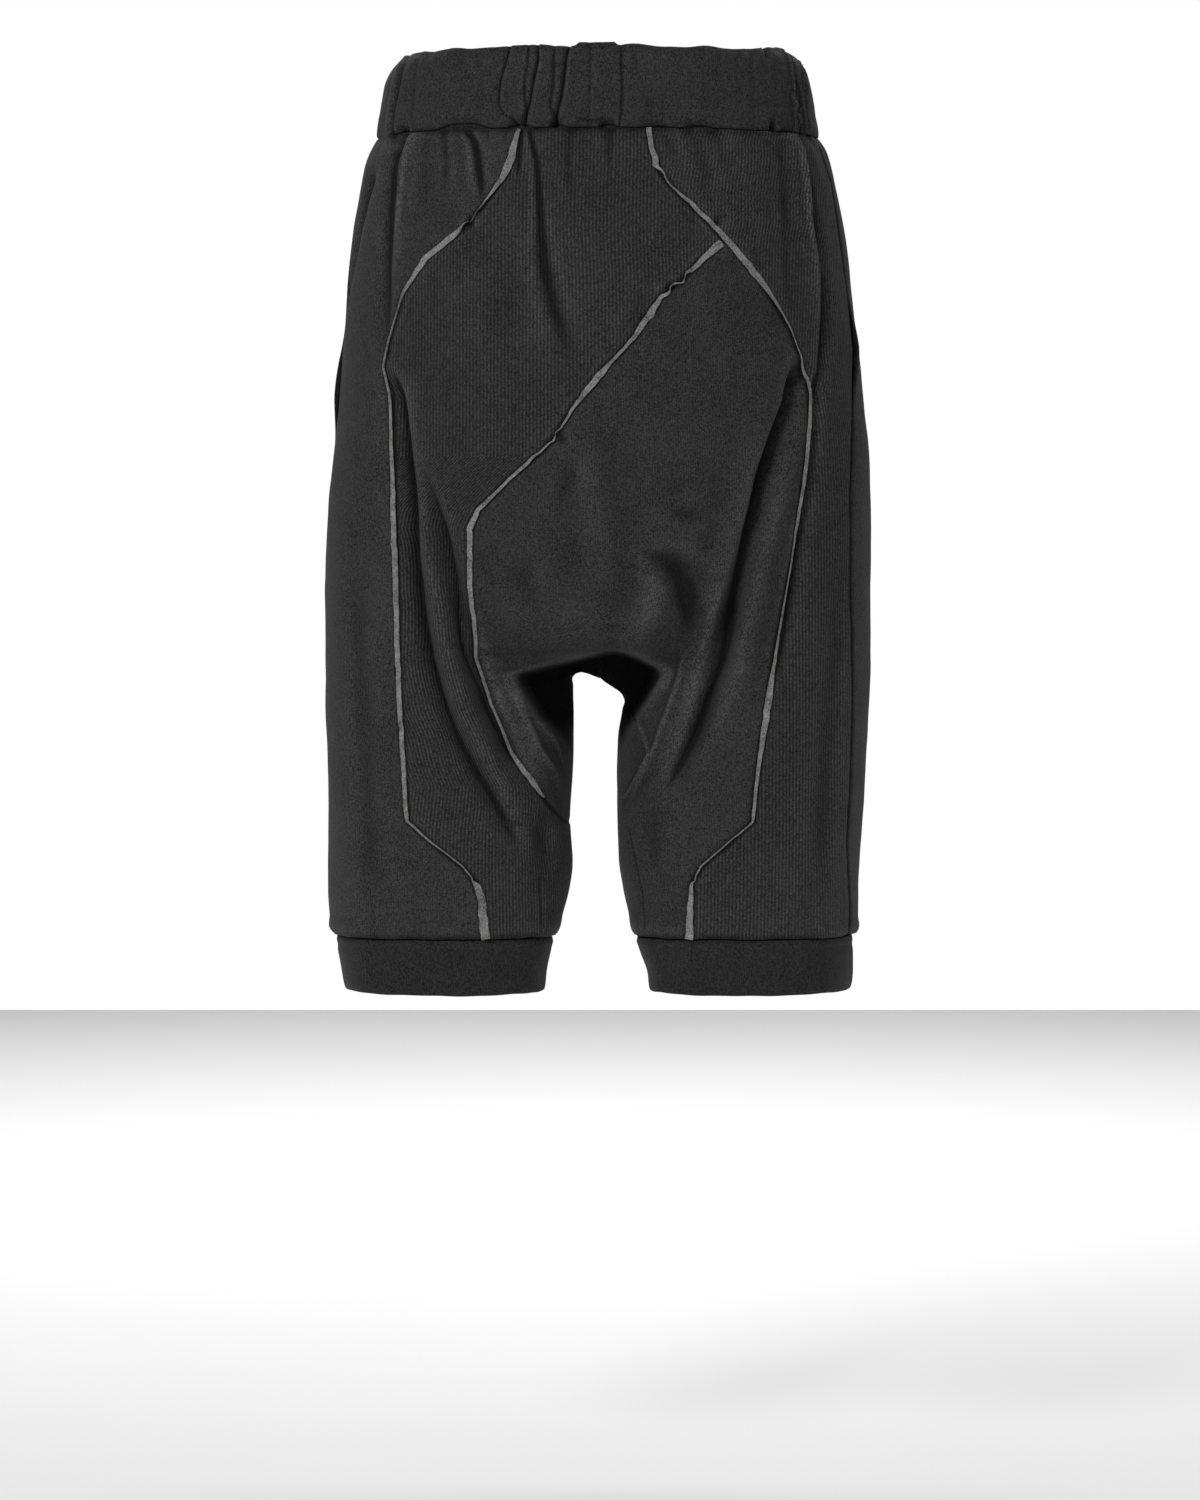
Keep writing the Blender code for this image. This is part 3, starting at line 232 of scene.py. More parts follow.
# Folds: depth (a ridge is negative), reach to the left and right as seen from outside, point (2 soft, near 1
# creased), lengths over which it grows in and dies away, then (x, z) down the fold.
FOLDS = {
    "back": (
        (15, 12, 5.5, 1.5, 30, 100, ((157, -204), (152, -232), (148, -266), (144, -303), (140, -350),
         (134, -393), (127, -424), (117, -455), (103, -486), (87, -514), (74, -536), (63, -562),
         (54, -584))),
        (15, 12, 6, 1.6, 60, 40, ((131, -282), (123, -313), (113, -350), (109, -362), (103, -387),
         (98, -412), (90, -437), (81, -462), (68, -486), (54, -511), (45, -530))),
        (-4, 10, 9, 2, 60, 60, ((134, -300), (127, -350), (117, -400), (104, -440), (86, -480), (67, -517))),
        (15.5, 4.2, 11, 1.6, 22, 60, ((-149, -198), (-141, -235), (-130, -263), (-121, -288), (-114.5, -316),
         (-105.5, -350), (-96, -384), (-86, -421), (-77, -452), (-65, -486), (-56, -508), (-48, -532))),
        (-5, 14, 9, 2, 60, 60, ((-128, -215), (-108, -290), (-90, -360), (-74, -425), (-58, -470))),
        (-4, 8, 14, 2, 60, 60, ((-146, -250), (-130, -310), (-118, -370), (-104, -430), (-84, -485))),
        (8, 2.2, 6, 1.5, 24, 90, ((-163, -205), (-161, -238), (-156.5, -288), (-147, -344), (-139, -394),
         (-128, -455))),
        (3.4, 1.4, 4.0, 1.3, 2, 60, ((54, -29), (48, -55), (46, -86), (45, -111), (42, -139), (37, -160))),
        (2.4, 7, 8, 2, 40, 40, ((47, -100), (43, -130), (36, -160), (30, -180), (22, -204))),
        (9.5, 12, 15, 2, 20, 40, ((-44, -338), (-53, -354), (-62, -368), (-68, -388), (-70, -404),
         (-66, -425))),
        (5, 1.7, 3.0, 1.3, 2, 30, ((101, -29), (95, -38), (92, -52), (90, -70), (87, -90))),
        (1.0, 2.5, 2.5, 1.5, 2, 20, ((117, -29), (115, -60), (116, -80))),
        (2.4, 2, 3, 1.4, 2, 14, ((58, -29), (61, -56), (62, -70))),
        (1.2, 4, 4, 1.6, 2, 25, ((22, -29), (24, -60), (20, -90))),
        (1.0, 4, 4, 1.6, 2, 25, ((-8, -29), (-6, -70))), (0.6, 5, 5, 1.8, 2, 30, ((-76, -29), (-80, -85))),
        (-2.2, 1.3, 1.7, 1.3, 2, 90, ((142, -29), (145.5, -46), (148, -75), (150.5, -100), (153, -150))),
        (-2.4, 1.3, 1.5, 1.3, 2, 70, ((-147.5, -29), (-149.3, -36), (-151.2, -54), (-153.5, -75),
         (-157, -110), (-160, -150))),
        (4.5, 8, 5, 1.8, 6, 60, ((152, -29), (156, -55), (158, -90), (160, -130), (160, -175), (158, -205))),
        (-4.5, 3, 14, 1.6, 2, 90, ((140, -29), (144, -48), (147, -67), (150, -90), (152, -110),
         (153, -150))),
        (7, 9, 9, 2, 25, 50, ((170, -45), (180, -80), (188, -119), (193, -150), (196, -185))),
        (-5.0, 15, 3.2, 1.6, 2, 70, ((-144, -29), (-150, -45), (-153, -62), (-157, -85), (-160, -108),
         (-162, -135), (-163, -170), (-163, -195))),
        (5.5, 3, 8, 1.5, 60, 50, ((-150, -60), (-160, -100), (-166, -135), (-168, -165), (-167, -190),
         (-165, -215), (-162, -240))),
        (0.8, 3, 5, 1.5, 20, 30, ((-133, -29), (-137, -78), (-138, -130), (-141, -165))),
        (4, 12, 14, 2, 60, 60, ((186, -330), (182, -430), (176, -540), (172, -620))),
        (4, 14, 12, 2, 60, 60, ((-184, -330), (-178, -420), (-170, -520), (-166, -610))),
        (-3.5, 15, 15, 2, 50, 60, ((20, -240), (8, -300), (0, -350), (-4, -395))),
        (2.5, 12, 9, 2, 40, 50, ((60, -330), (56, -370), (48, -400))),
        (-4, 6, 5, 1.7, 10, 30, ((64, -446), (56, -471), (47, -493), (35, -510), (30, -528))),
        (-3.5, 3, 4, 1.5, 12, 30, ((-65, -414), (-62, -436), (-49, -471), (-40, -497), (-29, -519),
         (-19, -536))),
        (-2.6, 1.6, 2.4, 1.4, 12, 30, ((38, -479), (33, -492), (28, -506), (24, -522))),
        (-3, 1.8, 2.6, 1.5, 12, 30, ((-22, -457), (-30.7, -475), (-38, -497), (-26, -519), (-17, -532),
         (-15, -550))),
        (1.6, 1.4, 1.8, 1.3, 20, 10, ((44, -580), (45, -600), (43, -634))),
        (1.8, 1.8, 1.4, 1.3, 20, 6, ((-20, -546), (-26, -575), (-31, -600), (-34, -634))),
    ),
    "front": (
        (12, 9, 12, 1.8, 60, 80, ((150, -170), (140, -235), (122, -310), (98, -385), (74, -445),
         (60, -520))),
        (8, 9, 10, 1.9, 60, 60, ((118, -210), (100, -290), (76, -360), (50, -415))),
        (-4, 11, 11, 2, 60, 60, ((132, -200), (112, -300), (86, -380), (62, -440))),
        (13, 12, 9, 1.8, 60, 80, ((-152, -150), (-138, -240), (-116, -320), (-92, -400), (-70, -465),
         (-58, -540))),
        (7, 10, 9, 1.9, 60, 60, ((-104, -190), (-90, -270), (-66, -350), (-40, -410))),
        (3.5, 4, 6, 1.5, 2, 60, ((72, -29), (66, -70), (58, -140))),
        (3, 6, 4, 1.5, 2, 70, ((28, -29), (30, -80), (22, -170))),
        (3.5, 4, 6, 1.5, 2, 60, ((-22, -29), (-26, -90), (-16, -160))),
        (3, 5, 4, 1.5, 2, 50, ((-84, -29), (-78, -80), (-68, -150))),
        (2.5, 4, 4, 1.5, 2, 40, ((116, -29), (112, -90))),
        (2.5, 4, 4, 1.5, 2, 40, ((-120, -29), (-114, -96))),
        (4, 14, 12, 2, 60, 60, ((170, -380), (166, -470), (160, -600))),
        (4, 12, 14, 2, 60, 60, ((-172, -340), (-164, -450), (-160, -590))),
        (4.5, 12, 10, 2, 40, 50, ((112, -480), (108, -550), (110, -620))),
        (4, 10, 12, 2, 40, 50, ((-106, -470), (-110, -540), (-104, -615))),
    ),
}
# Dents: depth (a swelling is negative), x, z, reach across, up and down, lean of the long axis in degrees.
DENTS = {
    "back": (
        (-8, -35, -390, 15, 32, 24, 10), (2.5, -64, -317, 13, 8, 8, 0), (3, 22, -289, 9, 20, 20, 25),
        (2.5, -30, -173, 10, 16, 16, 30), (2, 70, -160, 18, 26, 26, 0), (5, 42, -562, 14, 16, 26, 6),
        (3, -38, -556, 12, 22, 26, -8), (8, 151, -37, 5, 9, 9, 45), (3.2, 97, -101, 3, 3.5, 3.5, 0),
        (2.6, -51, -150, 3, 3.5, 3.5, -40), (2.6, 29, -262, 2.5, 4, 4, -50), (2.4, -86, -101, 3, 5, 5, 40),
    ),
    "front": (
        (6, 34, -402, 20, 14, 14, 0), (-5, -30, -392, 24, 16, 16, 0), (3.2, -62, -556, 19, 20, 24, 14),
        (2.6, 66, -545, 17, 24, 20, -12),
    ),
}
FOLDS = [(face, *fold) for face, folds in FOLDS.items() for fold in folds]
DENTS = [(face, *dent) for face, dents in DENTS.items() for dent in dents]
FOLD_LINES = [traced(fold[-1], fold[0]) for fold in FOLDS]
FOLD_LEANS = [np.gradient(np.interp(HEIGHTS, *np.array(f[-1], float)[::-1].T[::-1]), HEIGHTS) for f in FOLDS]
DENT_TURNS = [at_turn(x, z, face) for face, _, x, z, _, _, _, _ in DENTS]
SEAM_DIP, SEAM_REACH = 1.2, 2.4     # how far a seam draws the cloth in, and how wide
SEAM_LINES = (                      # line, top and bottom
    (LEFT_SEAM, 0, -640), (RIGHT_SEAM, 0, -640), (CROSS_SEAM, TIP_TOP, TIP_LOW), (SIDE_LEFT, 0, -640),
    (SIDE_RIGHT, 0, -640), (MIDDLE_FRONT, 0, -640), (-MIDDLE_FRONT, CROTCH, -640),
    (MIDDLE_BACK, CROTCH, -640),
)
# pocket mouths, the left one and the right one: top, bottom, lift of the lip
MOUTHS = {1: (-172.0, -262.0, 4.6), -1: (-146.0, -236.0, 4.0)}
LIP_REACH = 12.0
FORK_FLOOR = 14.0           # how near the middle the cloth comes inside the fork


def apart(turn, centre, z):
    """How far one turn is from another: across the trunk, but only round the same leg below the crotch."""
    whole = (turn - centre + 1) % 2 - 1
    round_leg = (np.abs(turn) - np.abs(centre) + 0.5) % 1 - 0.5
    round_leg = np.where(turn < 0, -round_leg, round_leg)
    return np.where(z >= CROTCH, whole, np.where((turn < 0) == (centre < 0), round_leg, 9.0))


def ripple(turn, z, size, seed):
    """Slow unevenness of worn cloth, about -1 to 1: six waves of set directions and phases, added up."""
    draw = np.random.default_rng(seed)
    total = np.zeros(np.shape(z))
    for _ in range(6):
        way, phase, long = draw.uniform(-1.2, 1.2), draw.uniform(0, 6.283), size * draw.uniform(0.7, 1.6)
        total += np.sin((turn * 520 * np.cos(way) + z * np.sin(way)) * 6.283 / long + phase)
    return total / 4


def mouth_share(turn, z):
    """How much of a pocket lip is at each point, 0 to 1: full at the side seam halfway down a mouth."""
    seam = np.where(turn < 0, -np.interp(z, HEIGHTS, SIDE_RIGHT), np.interp(z, HEIGHTS, SIDE_LEFT))
    forward = (np.abs(turn) - seam) * form_normal(turn, z)[1]
    share = np.zeros(turn.shape)
    for half, (top, low, _) in MOUTHS.items():
        far = (top - z) / (top - low)
        share += smooth(far / 0.5) * smooth((1 - far) / 0.45) * ((turn < 0) == (half < 0))
    return np.where(forward > 0, share * np.exp(-((forward / LIP_REACH) ** 2)), 0.0)


def fork_share(x, z):
    """How far the cloth is rolled in under the pouch, 0 to 1: fully below its edge and inside both legs.

    The edge is a bent line with a rounded top: it falls 0.27 mm per mm to the wearer's left and 0.6 to the
    right. The hollow narrows lower down and runs out above the knee. The same share marks where cut_of paints
    shade inside the fork.
    """
    u = x + 11
    edge = -417 - np.where(u > 0, 0.27 * (np.sqrt(u ** 2 + 36) - 6), 0.6 * (np.sqrt(u ** 2 + 100) - 10))
    left = np.interp(z, (-520, -500, -480, -466, -446, -430), (16, 24, 38, 50, 62, 68))
    right = np.interp(z, (-520, -490, -470, -455, -440, -425), (-12, -20, -29, -38, -46, -48))
    return smooth((edge - z) / 6) * smooth((left - x) / 9) * smooth((x - right) / 7) * smooth((z + 515) / 55)


def cloth(turn, z, lip=1.0):
    """The worn form with its folds, each pushing the cloth in along the normal as a bell across its line."""
    turn, z = np.broadcast_arrays(np.asarray(turn, float), np.asarray(z, float))
    normal, pace = form_normal(turn, z)
    push = -lip * mouth_share(turn, z) * np.where(turn < 0, MOUTHS[-1][2], MOUTHS[1][2])
    for (_, depth, left, right, point, grow, die, path), line, lean in zip(FOLDS, FOLD_LINES, FOLD_LEANS):
        top, low = path[0][1], path[-1][1]
        near = (z < top + 1) & (z > low - 1)
        h = z[near]
        across = apart(turn[near], np.interp(h, HEIGHTS, line), h) * pace[near]
        across /= np.sqrt(1 + np.interp(h, HEIGHTS, lean) ** 2)
        reach = np.where(across > 0, left, right)
        bell = np.exp(-np.minimum(np.abs(across) / reach, 9.0) ** point)
        push[near] += depth * bell * smooth((top - h) / grow) * smooth((h - low) / die)
    for (_, depth, _, height, wide, up, down, lean), centre in zip(DENTS, DENT_TURNS):
        a, d = apart(turn, centre, z) * pace, z - height
        c, s = np.cos(np.radians(lean)), np.sin(np.radians(lean))
        a, d = a * c + d * s, d * c - a * s
        push += depth * np.exp(-((a / wide) ** 2) - (d / np.where(d > 0, up, down)) ** 2)
    for line, top, low in SEAM_LINES:
        slope = np.interp(z, HEIGHTS, np.gradient(line, HEIGHTS)) * pace
        across = apart(turn, np.interp(z, HEIGHTS, line), z) * pace / np.sqrt(1 + slope ** 2)
        push += SEAM_DIP * np.exp(-((across / SEAM_REACH) ** 2)) * ((z <= top) & (z >= low))
    push += 0.45 * ripple(turn, z, 70.0, 3) + 0.2 * ripple(turn, z, 26.0, 5)
    below = z - PANEL_TOP
    push += np.exp(below / 4.0) + (0.5 + 0.9 * ripple(turn, z, 22.0, 8)) * np.exp(below / 16.0)
    push += (0.4 + 0.6 * ripple(turn, z, 30.0, 9)) * np.exp((PANEL_BOTTOM - z) / 12.0)
    points = worn_form(turn, z) - normal * push[..., None]
    side = np.sign(points[..., 1])
    rolled = np.maximum(np.abs(points[..., 1]) - FORK_FLOOR, 0) * fork_share(points[..., 0], points[..., 2])
    points[..., 1] -= side * rolled
    return points


ROWS = np.concatenate([
    np.linspace(PANEL_TOP, -402, 156), np.linspace(-403, -452, 50), np.linspace(-454.2, PANEL_BOTTOM, 78),
])
ROWS[np.abs(ROWS - TIP_TOP).argmin()] = TIP_TOP
ROWS[np.abs(ROWS - TIP_LOW).argmin()] = TIP_LOW
ROWS[np.abs(ROWS - CROTCH).argmin()] = CROTCH
SEAM_GAP = 0.36


def edge_turns(line, inset, rows=ROWS):
    """A seam's turn at every row, moved off the seam by inset mm measured square to it."""
    turns = np.interp(rows, HEIGHTS, line)
    pace = form_normal(turns, rows)[1]
    lean = np.interp(rows, HEIGHTS, np.gradient(line, HEIGHTS)) * pace
    return turns + inset / pace * np.sqrt(1 + np.minimum(lean ** 2, 6.0))


def grid_quads(ids):
    """Quads of a grid of point numbers, rows running down and columns toward the wearer's left."""
    return np.stack([ids[:-1, :-1], ids[:-1, 1:], ids[1:, 1:], ids[1:, :-1]], axis=-1).reshape(-1, 4)


def grid_normals(points):
    """Outward unit normals of a grid of points: the cross product of its steps along and down."""
    return unit(np.cross(np.gradient(points, axis=1), np.gradient(points, axis=0)))


def proud(points, normal, reach=4.0):
    """How many mm each point of a grid stands out from the middle of its neighbours reach mm to each side.

    It is the larger of that across and that down, so a ridge is above 0 and the bottom of a crease below.
    """
    most = 0.0
    for axis in (0, 1):
        step = np.linalg.norm(np.diff(points, axis=axis), axis=-1).mean()
        place = np.arange(points.shape[axis])
        away = np.minimum(np.minimum(place, place[::-1]), max(1, round(reach / step)))
        gap = points - (np.take(points, place - away, axis) + np.take(points, place + away, axis)) / 2
        stand = (gap * normal).sum(axis=-1)
        slip = np.linalg.norm(gap - stand[..., None] * normal, axis=-1)
        if axis == 0:
            stand *= np.exp(-((slip / 0.7) ** 2))       # swerving columns tell nothing about the cloth
        most = np.where(np.abs(stand) > np.abs(most), stand, most)
    return most


def make_object(name, points, quads, cut, stuff):
    """A smooth mesh object from points in mm. cut is metres across and down the cloth, then mm proud, which
    the knit materials paint as shade and highlight.
    """
    mesh = bpy.data.meshes.new(name)
    mesh.vertices.add(len(points))
    mesh.vertices.foreach_set("co", (np.asarray(points) / 1000).astype(np.float32).ravel())
    mesh.loops.add(quads.size)
    mesh.loops.foreach_set("vertex_index", quads.astype(np.int32).ravel())
    mesh.polygons.add(len(quads))
    mesh.polygons.foreach_set("loop_start", np.arange(0, quads.size, 4, dtype=np.int32))
    mesh.update(calc_edges=True)
    mesh.shade_smooth()
    layer = mesh.attributes.new("cut", "FLOAT_VECTOR", "POINT")
    layer.data.foreach_set("vector", np.asarray(cut).astype(np.float32).ravel())
    mesh.materials.append(stuff)
    made = bpy.data.objects.new(name, mesh)
    bpy.context.scene.collection.objects.link(made)
    return made


def make_wall(name, outer, normal, quads, cut, stuff, thick=WALL):
    """A closed wall: the outer quads, the inner ones turned round, and a rim along every edge with one quad.

    thick is one number, or one for each point where a hem makes the cloth thicker.
    """
    count = len(outer)
    edges = np.concatenate([quads[:, [n, (n + 1) % 4]] for n in range(4)])
    key, back = edges[:, 0] * count + edges[:, 1], edges[:, 1] * count + edges[:, 0]
    free = edges[~np.isin(back, key)]
    rim = np.stack([free[:, 1], free[:, 0], free[:, 0] + count, free[:, 1] + count], axis=-1)
    points = np.concatenate([outer, outer - normal * np.reshape(thick, (-1, 1))])
    faces = np.concatenate([quads, quads[:, ::-1] + count, rim])
    return make_object(name, points, faces, np.tile(cut, (2, 1)), stuff)


def cut_of(turns, points, grain):
    """Metres across the cloth, metres down it, and a shade value at each grid point: mm proud, lowered near
    every edge and inside the fork, for painted shade and highlight.

    grain is the turn that counts as 0 across, one for the piece or one for each row. Wales run along it.
    """
    across, down = far_along(points, 1), far_along(points, 0)
    start = [np.interp(g, row, far) for g, row, far in zip(np.broadcast_to(grain, len(turns)), turns, across)]
    edge = np.minimum(np.minimum(across, across[:, -1:] - across), np.minimum(down, down[-1:] - down))
    normal = grid_normals(points)
    # Painted shade and highlight from how far each point stands proud, and painted shade of the seams in a
    # band about 3.4 mm wide along every edge of the panel.
    stand = proud(points, normal) + 0.13 * proud(points, normal, 13.0) - 1.6 * np.exp(-((edge / 3.4) ** 2))
    inside = smooth((95 - np.abs(points[..., 1])) / 50)
    stand -= 1.6 * inside * fork_share(points[..., 0], points[..., 2])      # painted shade: the cloth inside the fork, under the pouch, is drawn darker
    return np.stack([across - np.array(start)[:, None], down, stand * 1000], axis=-1).reshape(-1, 3) / 1000


def linear(code):
    """An sRGB hex colour as linear RGBA."""
    value = np.array([int(code[n:n + 2], 16) for n in (1, 3, 5)]) / 255
    return (*np.where(value <= 0.04045, value / 12.92, ((value + 0.055) / 1.055) ** 2.4), 1.0)


def add_node(tree, kind, links=(), **settings):
    """A shader node with its settings, inputs given as in_NAME or in_NUMBER, and links as (output, input).

    A node given in place of an output stands for its first one.
    """
    node = tree.nodes.new("ShaderNode" + kind)
    for key, value in settings.items():
        if key.startswith("in_"):
            spot = key[3:].replace("_", " ")
            node.inputs[int(spot) if spot.isdigit() else spot].default_value = value
        else:
            setattr(node, key, value)
    for source, spot in links:
        output = source if isinstance(source, bpy.types.NodeSocket) else source.outputs[0]
        tree.links.new(output, node.inputs[spot])
    return node


def knit(name, dark, light, pitch, groove_shade, relief, roughness=0.85, sheen=0.1):
    """Cotton knit, dyed in the piece: wales run down the cloth at the pitch in mm, with painted shade in the
    grooves between them.

    The dye takes unevenly from loop to loop. The creases of the folds are painted darker and their ridges
    lighter: painted shade and painted highlight.
    """
    made = bpy.data.materials.new(name)
    made.use_nodes = True
    tree = made.node_tree
    shader = tree.nodes["Principled BSDF"]
    cut = add_node(tree, "Attribute", attribute_name="cut").outputs["Vector"]
    spot = add_node(tree, "TexCoord").outputs["Object"]
    split = add_node(tree, "SeparateXYZ", [(cut, 0)]).outputs
    turn = add_node(tree, "Math", [(split["X"], 0)], operation="MULTIPLY", in_1=6283.2 / pitch)
    wale = add_node(tree, "Math", [(turn, 0)], operation="COSINE")
    lifted = add_node(tree, "Math", [(wale, 0)], operation="MULTIPLY_ADD", in_1=0.5, in_2=0.5)
    loops = add_node(tree, "TexNoise", [(spot, "Vector")], in_Scale=720.0, in_Detail=3.0, in_Roughness=0.7)
    cloud = add_node(tree, "TexNoise", [(spot, "Vector")], in_Scale=26.0, in_Detail=4.0)
    tone = add_node(tree, "Math", [(cloud, 0)], operation="MULTIPLY_ADD", in_1=0.5, in_2=-0.25)
    fleck = add_node(tree, "Math", [(loops, 0), (tone, 2)], operation="MULTIPLY_ADD", in_1=3.6)
    shade = add_node(tree, "Math", [(fleck, 0)], operation="SUBTRACT", in_1=1.3, use_clamp=True)
    colour = add_node(tree, "Mix", [(shade, 0)], data_type="RGBA", in_6=linear(dark), in_7=linear(light))
    # Painted shade and highlight: the third number of cut darkens creases to a quarter and lightens ridges to
    # over twice the colour.
    worn = add_node(tree, "MapRange", [(split["Z"], "Value")], in_From_Min=-1.5, in_From_Max=2.5,
                    in_To_Min=0.25, in_To_Max=2.25)
    # Painted shade: the grooves between the wales are drawn darker.
    wale_groove_shade = add_node(tree, "Math", [(lifted, 0)], operation="MULTIPLY_ADD", in_1=groove_shade, in_2=1 - groove_shade)
    level = add_node(tree, "Math", [(wale_groove_shade, 0), (worn, 1)], operation="MULTIPLY")
    final = add_node(tree, "VectorMath", [(colour.outputs[2], 0), (level, 1)], operation="MULTIPLY")
    height = add_node(tree, "Math", [(loops, 0), (lifted, 2)], operation="MULTIPLY_ADD", in_1=0.5)
    bump = add_node(tree, "Bump", [(height, "Height")], in_Distance=relief / 1000, in_Strength=0.8)
    tree.links.new(final.outputs[0], shader.inputs["Base Color"])
    tree.links.new(bump.outputs[0], shader.inputs["Normal"])
    shader.inputs["Roughness"].default_value = roughness
    shader.inputs["Specular IOR Level"].default_value = 0.25
    shader.inputs["Sheen Weight"].default_value = sheen
    shader.inputs["Sheen Roughness"].default_value = 0.4
    shader.inputs["Sheen Tint"].default_value = linear("#c8c8c6")
    return made


# Plain cotton jersey, the smooth face out. Its wales, usually about 1.2 mm apart, are too fine for the photo
# to show. They are drawn at 1.8.
jersey = knit("plain_cotton_jersey", "#1a1a1b", "#484848", pitch=1.8, groove_shade=0.2, relief=0.3)


def finish_panel(made, node):
    """Ties a cloth piece to the model's root and hides the part of the model, named node, that it stands for.
    """
    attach(made, "root")
    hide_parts(node)
    return made


def panel_grid(first, last, columns):
    """Turns and folded points of a panel between two edges, its columns evenly spread at every row."""
    turns = first[:, None] + (last - first)[:, None] * np.linspace(0, 1, columns + 1)
    return turns, cloth(turns, ROWS[-len(first):, None])


def upright(x):
    """The turn at every row of the line that hangs straight down at x on the back."""
    return np.interp(ROWS, HEIGHTS, traced(((x, 36), (x, -682))))


def make_panel(name, first, last, columns, grain, stuff):
    """A panel from its first edge to its last: the folded cloth as a closed wall, thicker at a pocket mouth.

    The hem of a mouth adds 3.4 mm times the cube of the lip's share.
    """
    turns, points = panel_grid(first, last, columns)
    normal = grid_normals(points)
    quads = grid_quads(np.arange(turns.size).reshape(turns.shape))
    hem = WALL + 3.4 * mouth_share(turns, np.broadcast_to(ROWS[:, None], turns.shape)) ** 3
    cut = cut_of(turns, points, grain)
    return make_wall(name, points.reshape(-1, 3), normal.reshape(-1, 3), quads, cut, stuff, hem)


HALF = SEAM_GAP / 2
side_edge, middle_edge = edge_turns(SIDE_LEFT, HALF), edge_turns(MIDDLE_FRONT, -HALF)
front_left = make_panel("front_left_cloth", side_edge, middle_edge, 86, 0.75, jersey)
finish_panel(front_left, "front_left")
middle_edge, side_edge = edge_turns(-MIDDLE_FRONT, HALF), edge_turns(SIDE_RIGHT, -HALF)
front_right = make_panel("front_right_cloth", middle_edge, side_edge, 88, -0.75, jersey)
finish_panel(front_right, "front_right")


# ---------------------------------------------------------------------------------------------------------
# Left side back: the same plain jersey, from the curved left seam round to the left side seam.
# ---------------------------------------------------------------------------------------------------------
curved_edge, side_edge = edge_turns(LEFT_SEAM, HALF), edge_turns(SIDE_LEFT, -HALF)
side_left = make_panel("left_side_back_cloth", curved_edge, side_edge, 96, upright(164), jersey)
finish_panel(side_left, "back_side_left")


# ---------------------------------------------------------------------------------------------------------
# Right side back and centre back: a fine vertical rib knit of the same yarn, with painted shade in its
# grooves.
# The centre piece ends at the diagonal seam and runs down the left leg to the inseam.
# ---------------------------------------------------------------------------------------------------------
# The photo shows ribs about 2 mm apart. They are drawn at 2.7, coarser than real, so that they show.
rib = knit("fine_rib_knit", "#1e1e1f", "#505050", pitch=2.7, groove_shade=0.6, relief=0.7)
side_edge, curved_edge = edge_turns(SIDE_RIGHT, HALF), edge_turns(RIGHT_SEAM, -HALF)
side_right = make_panel("right_side_back_cloth", side_edge, curved_edge, 84, upright(-160), rib)
finish_panel(side_right, "back_side_right")
TIP_WIDTH = 0.004           # turns left at a panel's point
centre_edge = np.where(ROWS >= TIP_TOP, edge_turns(RIGHT_SEAM, HALF), edge_turns(CROSS_SEAM, HALF))
centre_edge = np.where(ROWS <= TIP_LOW, edge_turns(MIDDLE_BACK, HALF), centre_edge)
centre = make_panel("centre_back_cloth", centre_edge, edge_turns(LEFT_SEAM, -HALF), 140, upright(48), rib)
finish_panel(centre, "back_centre_rib")


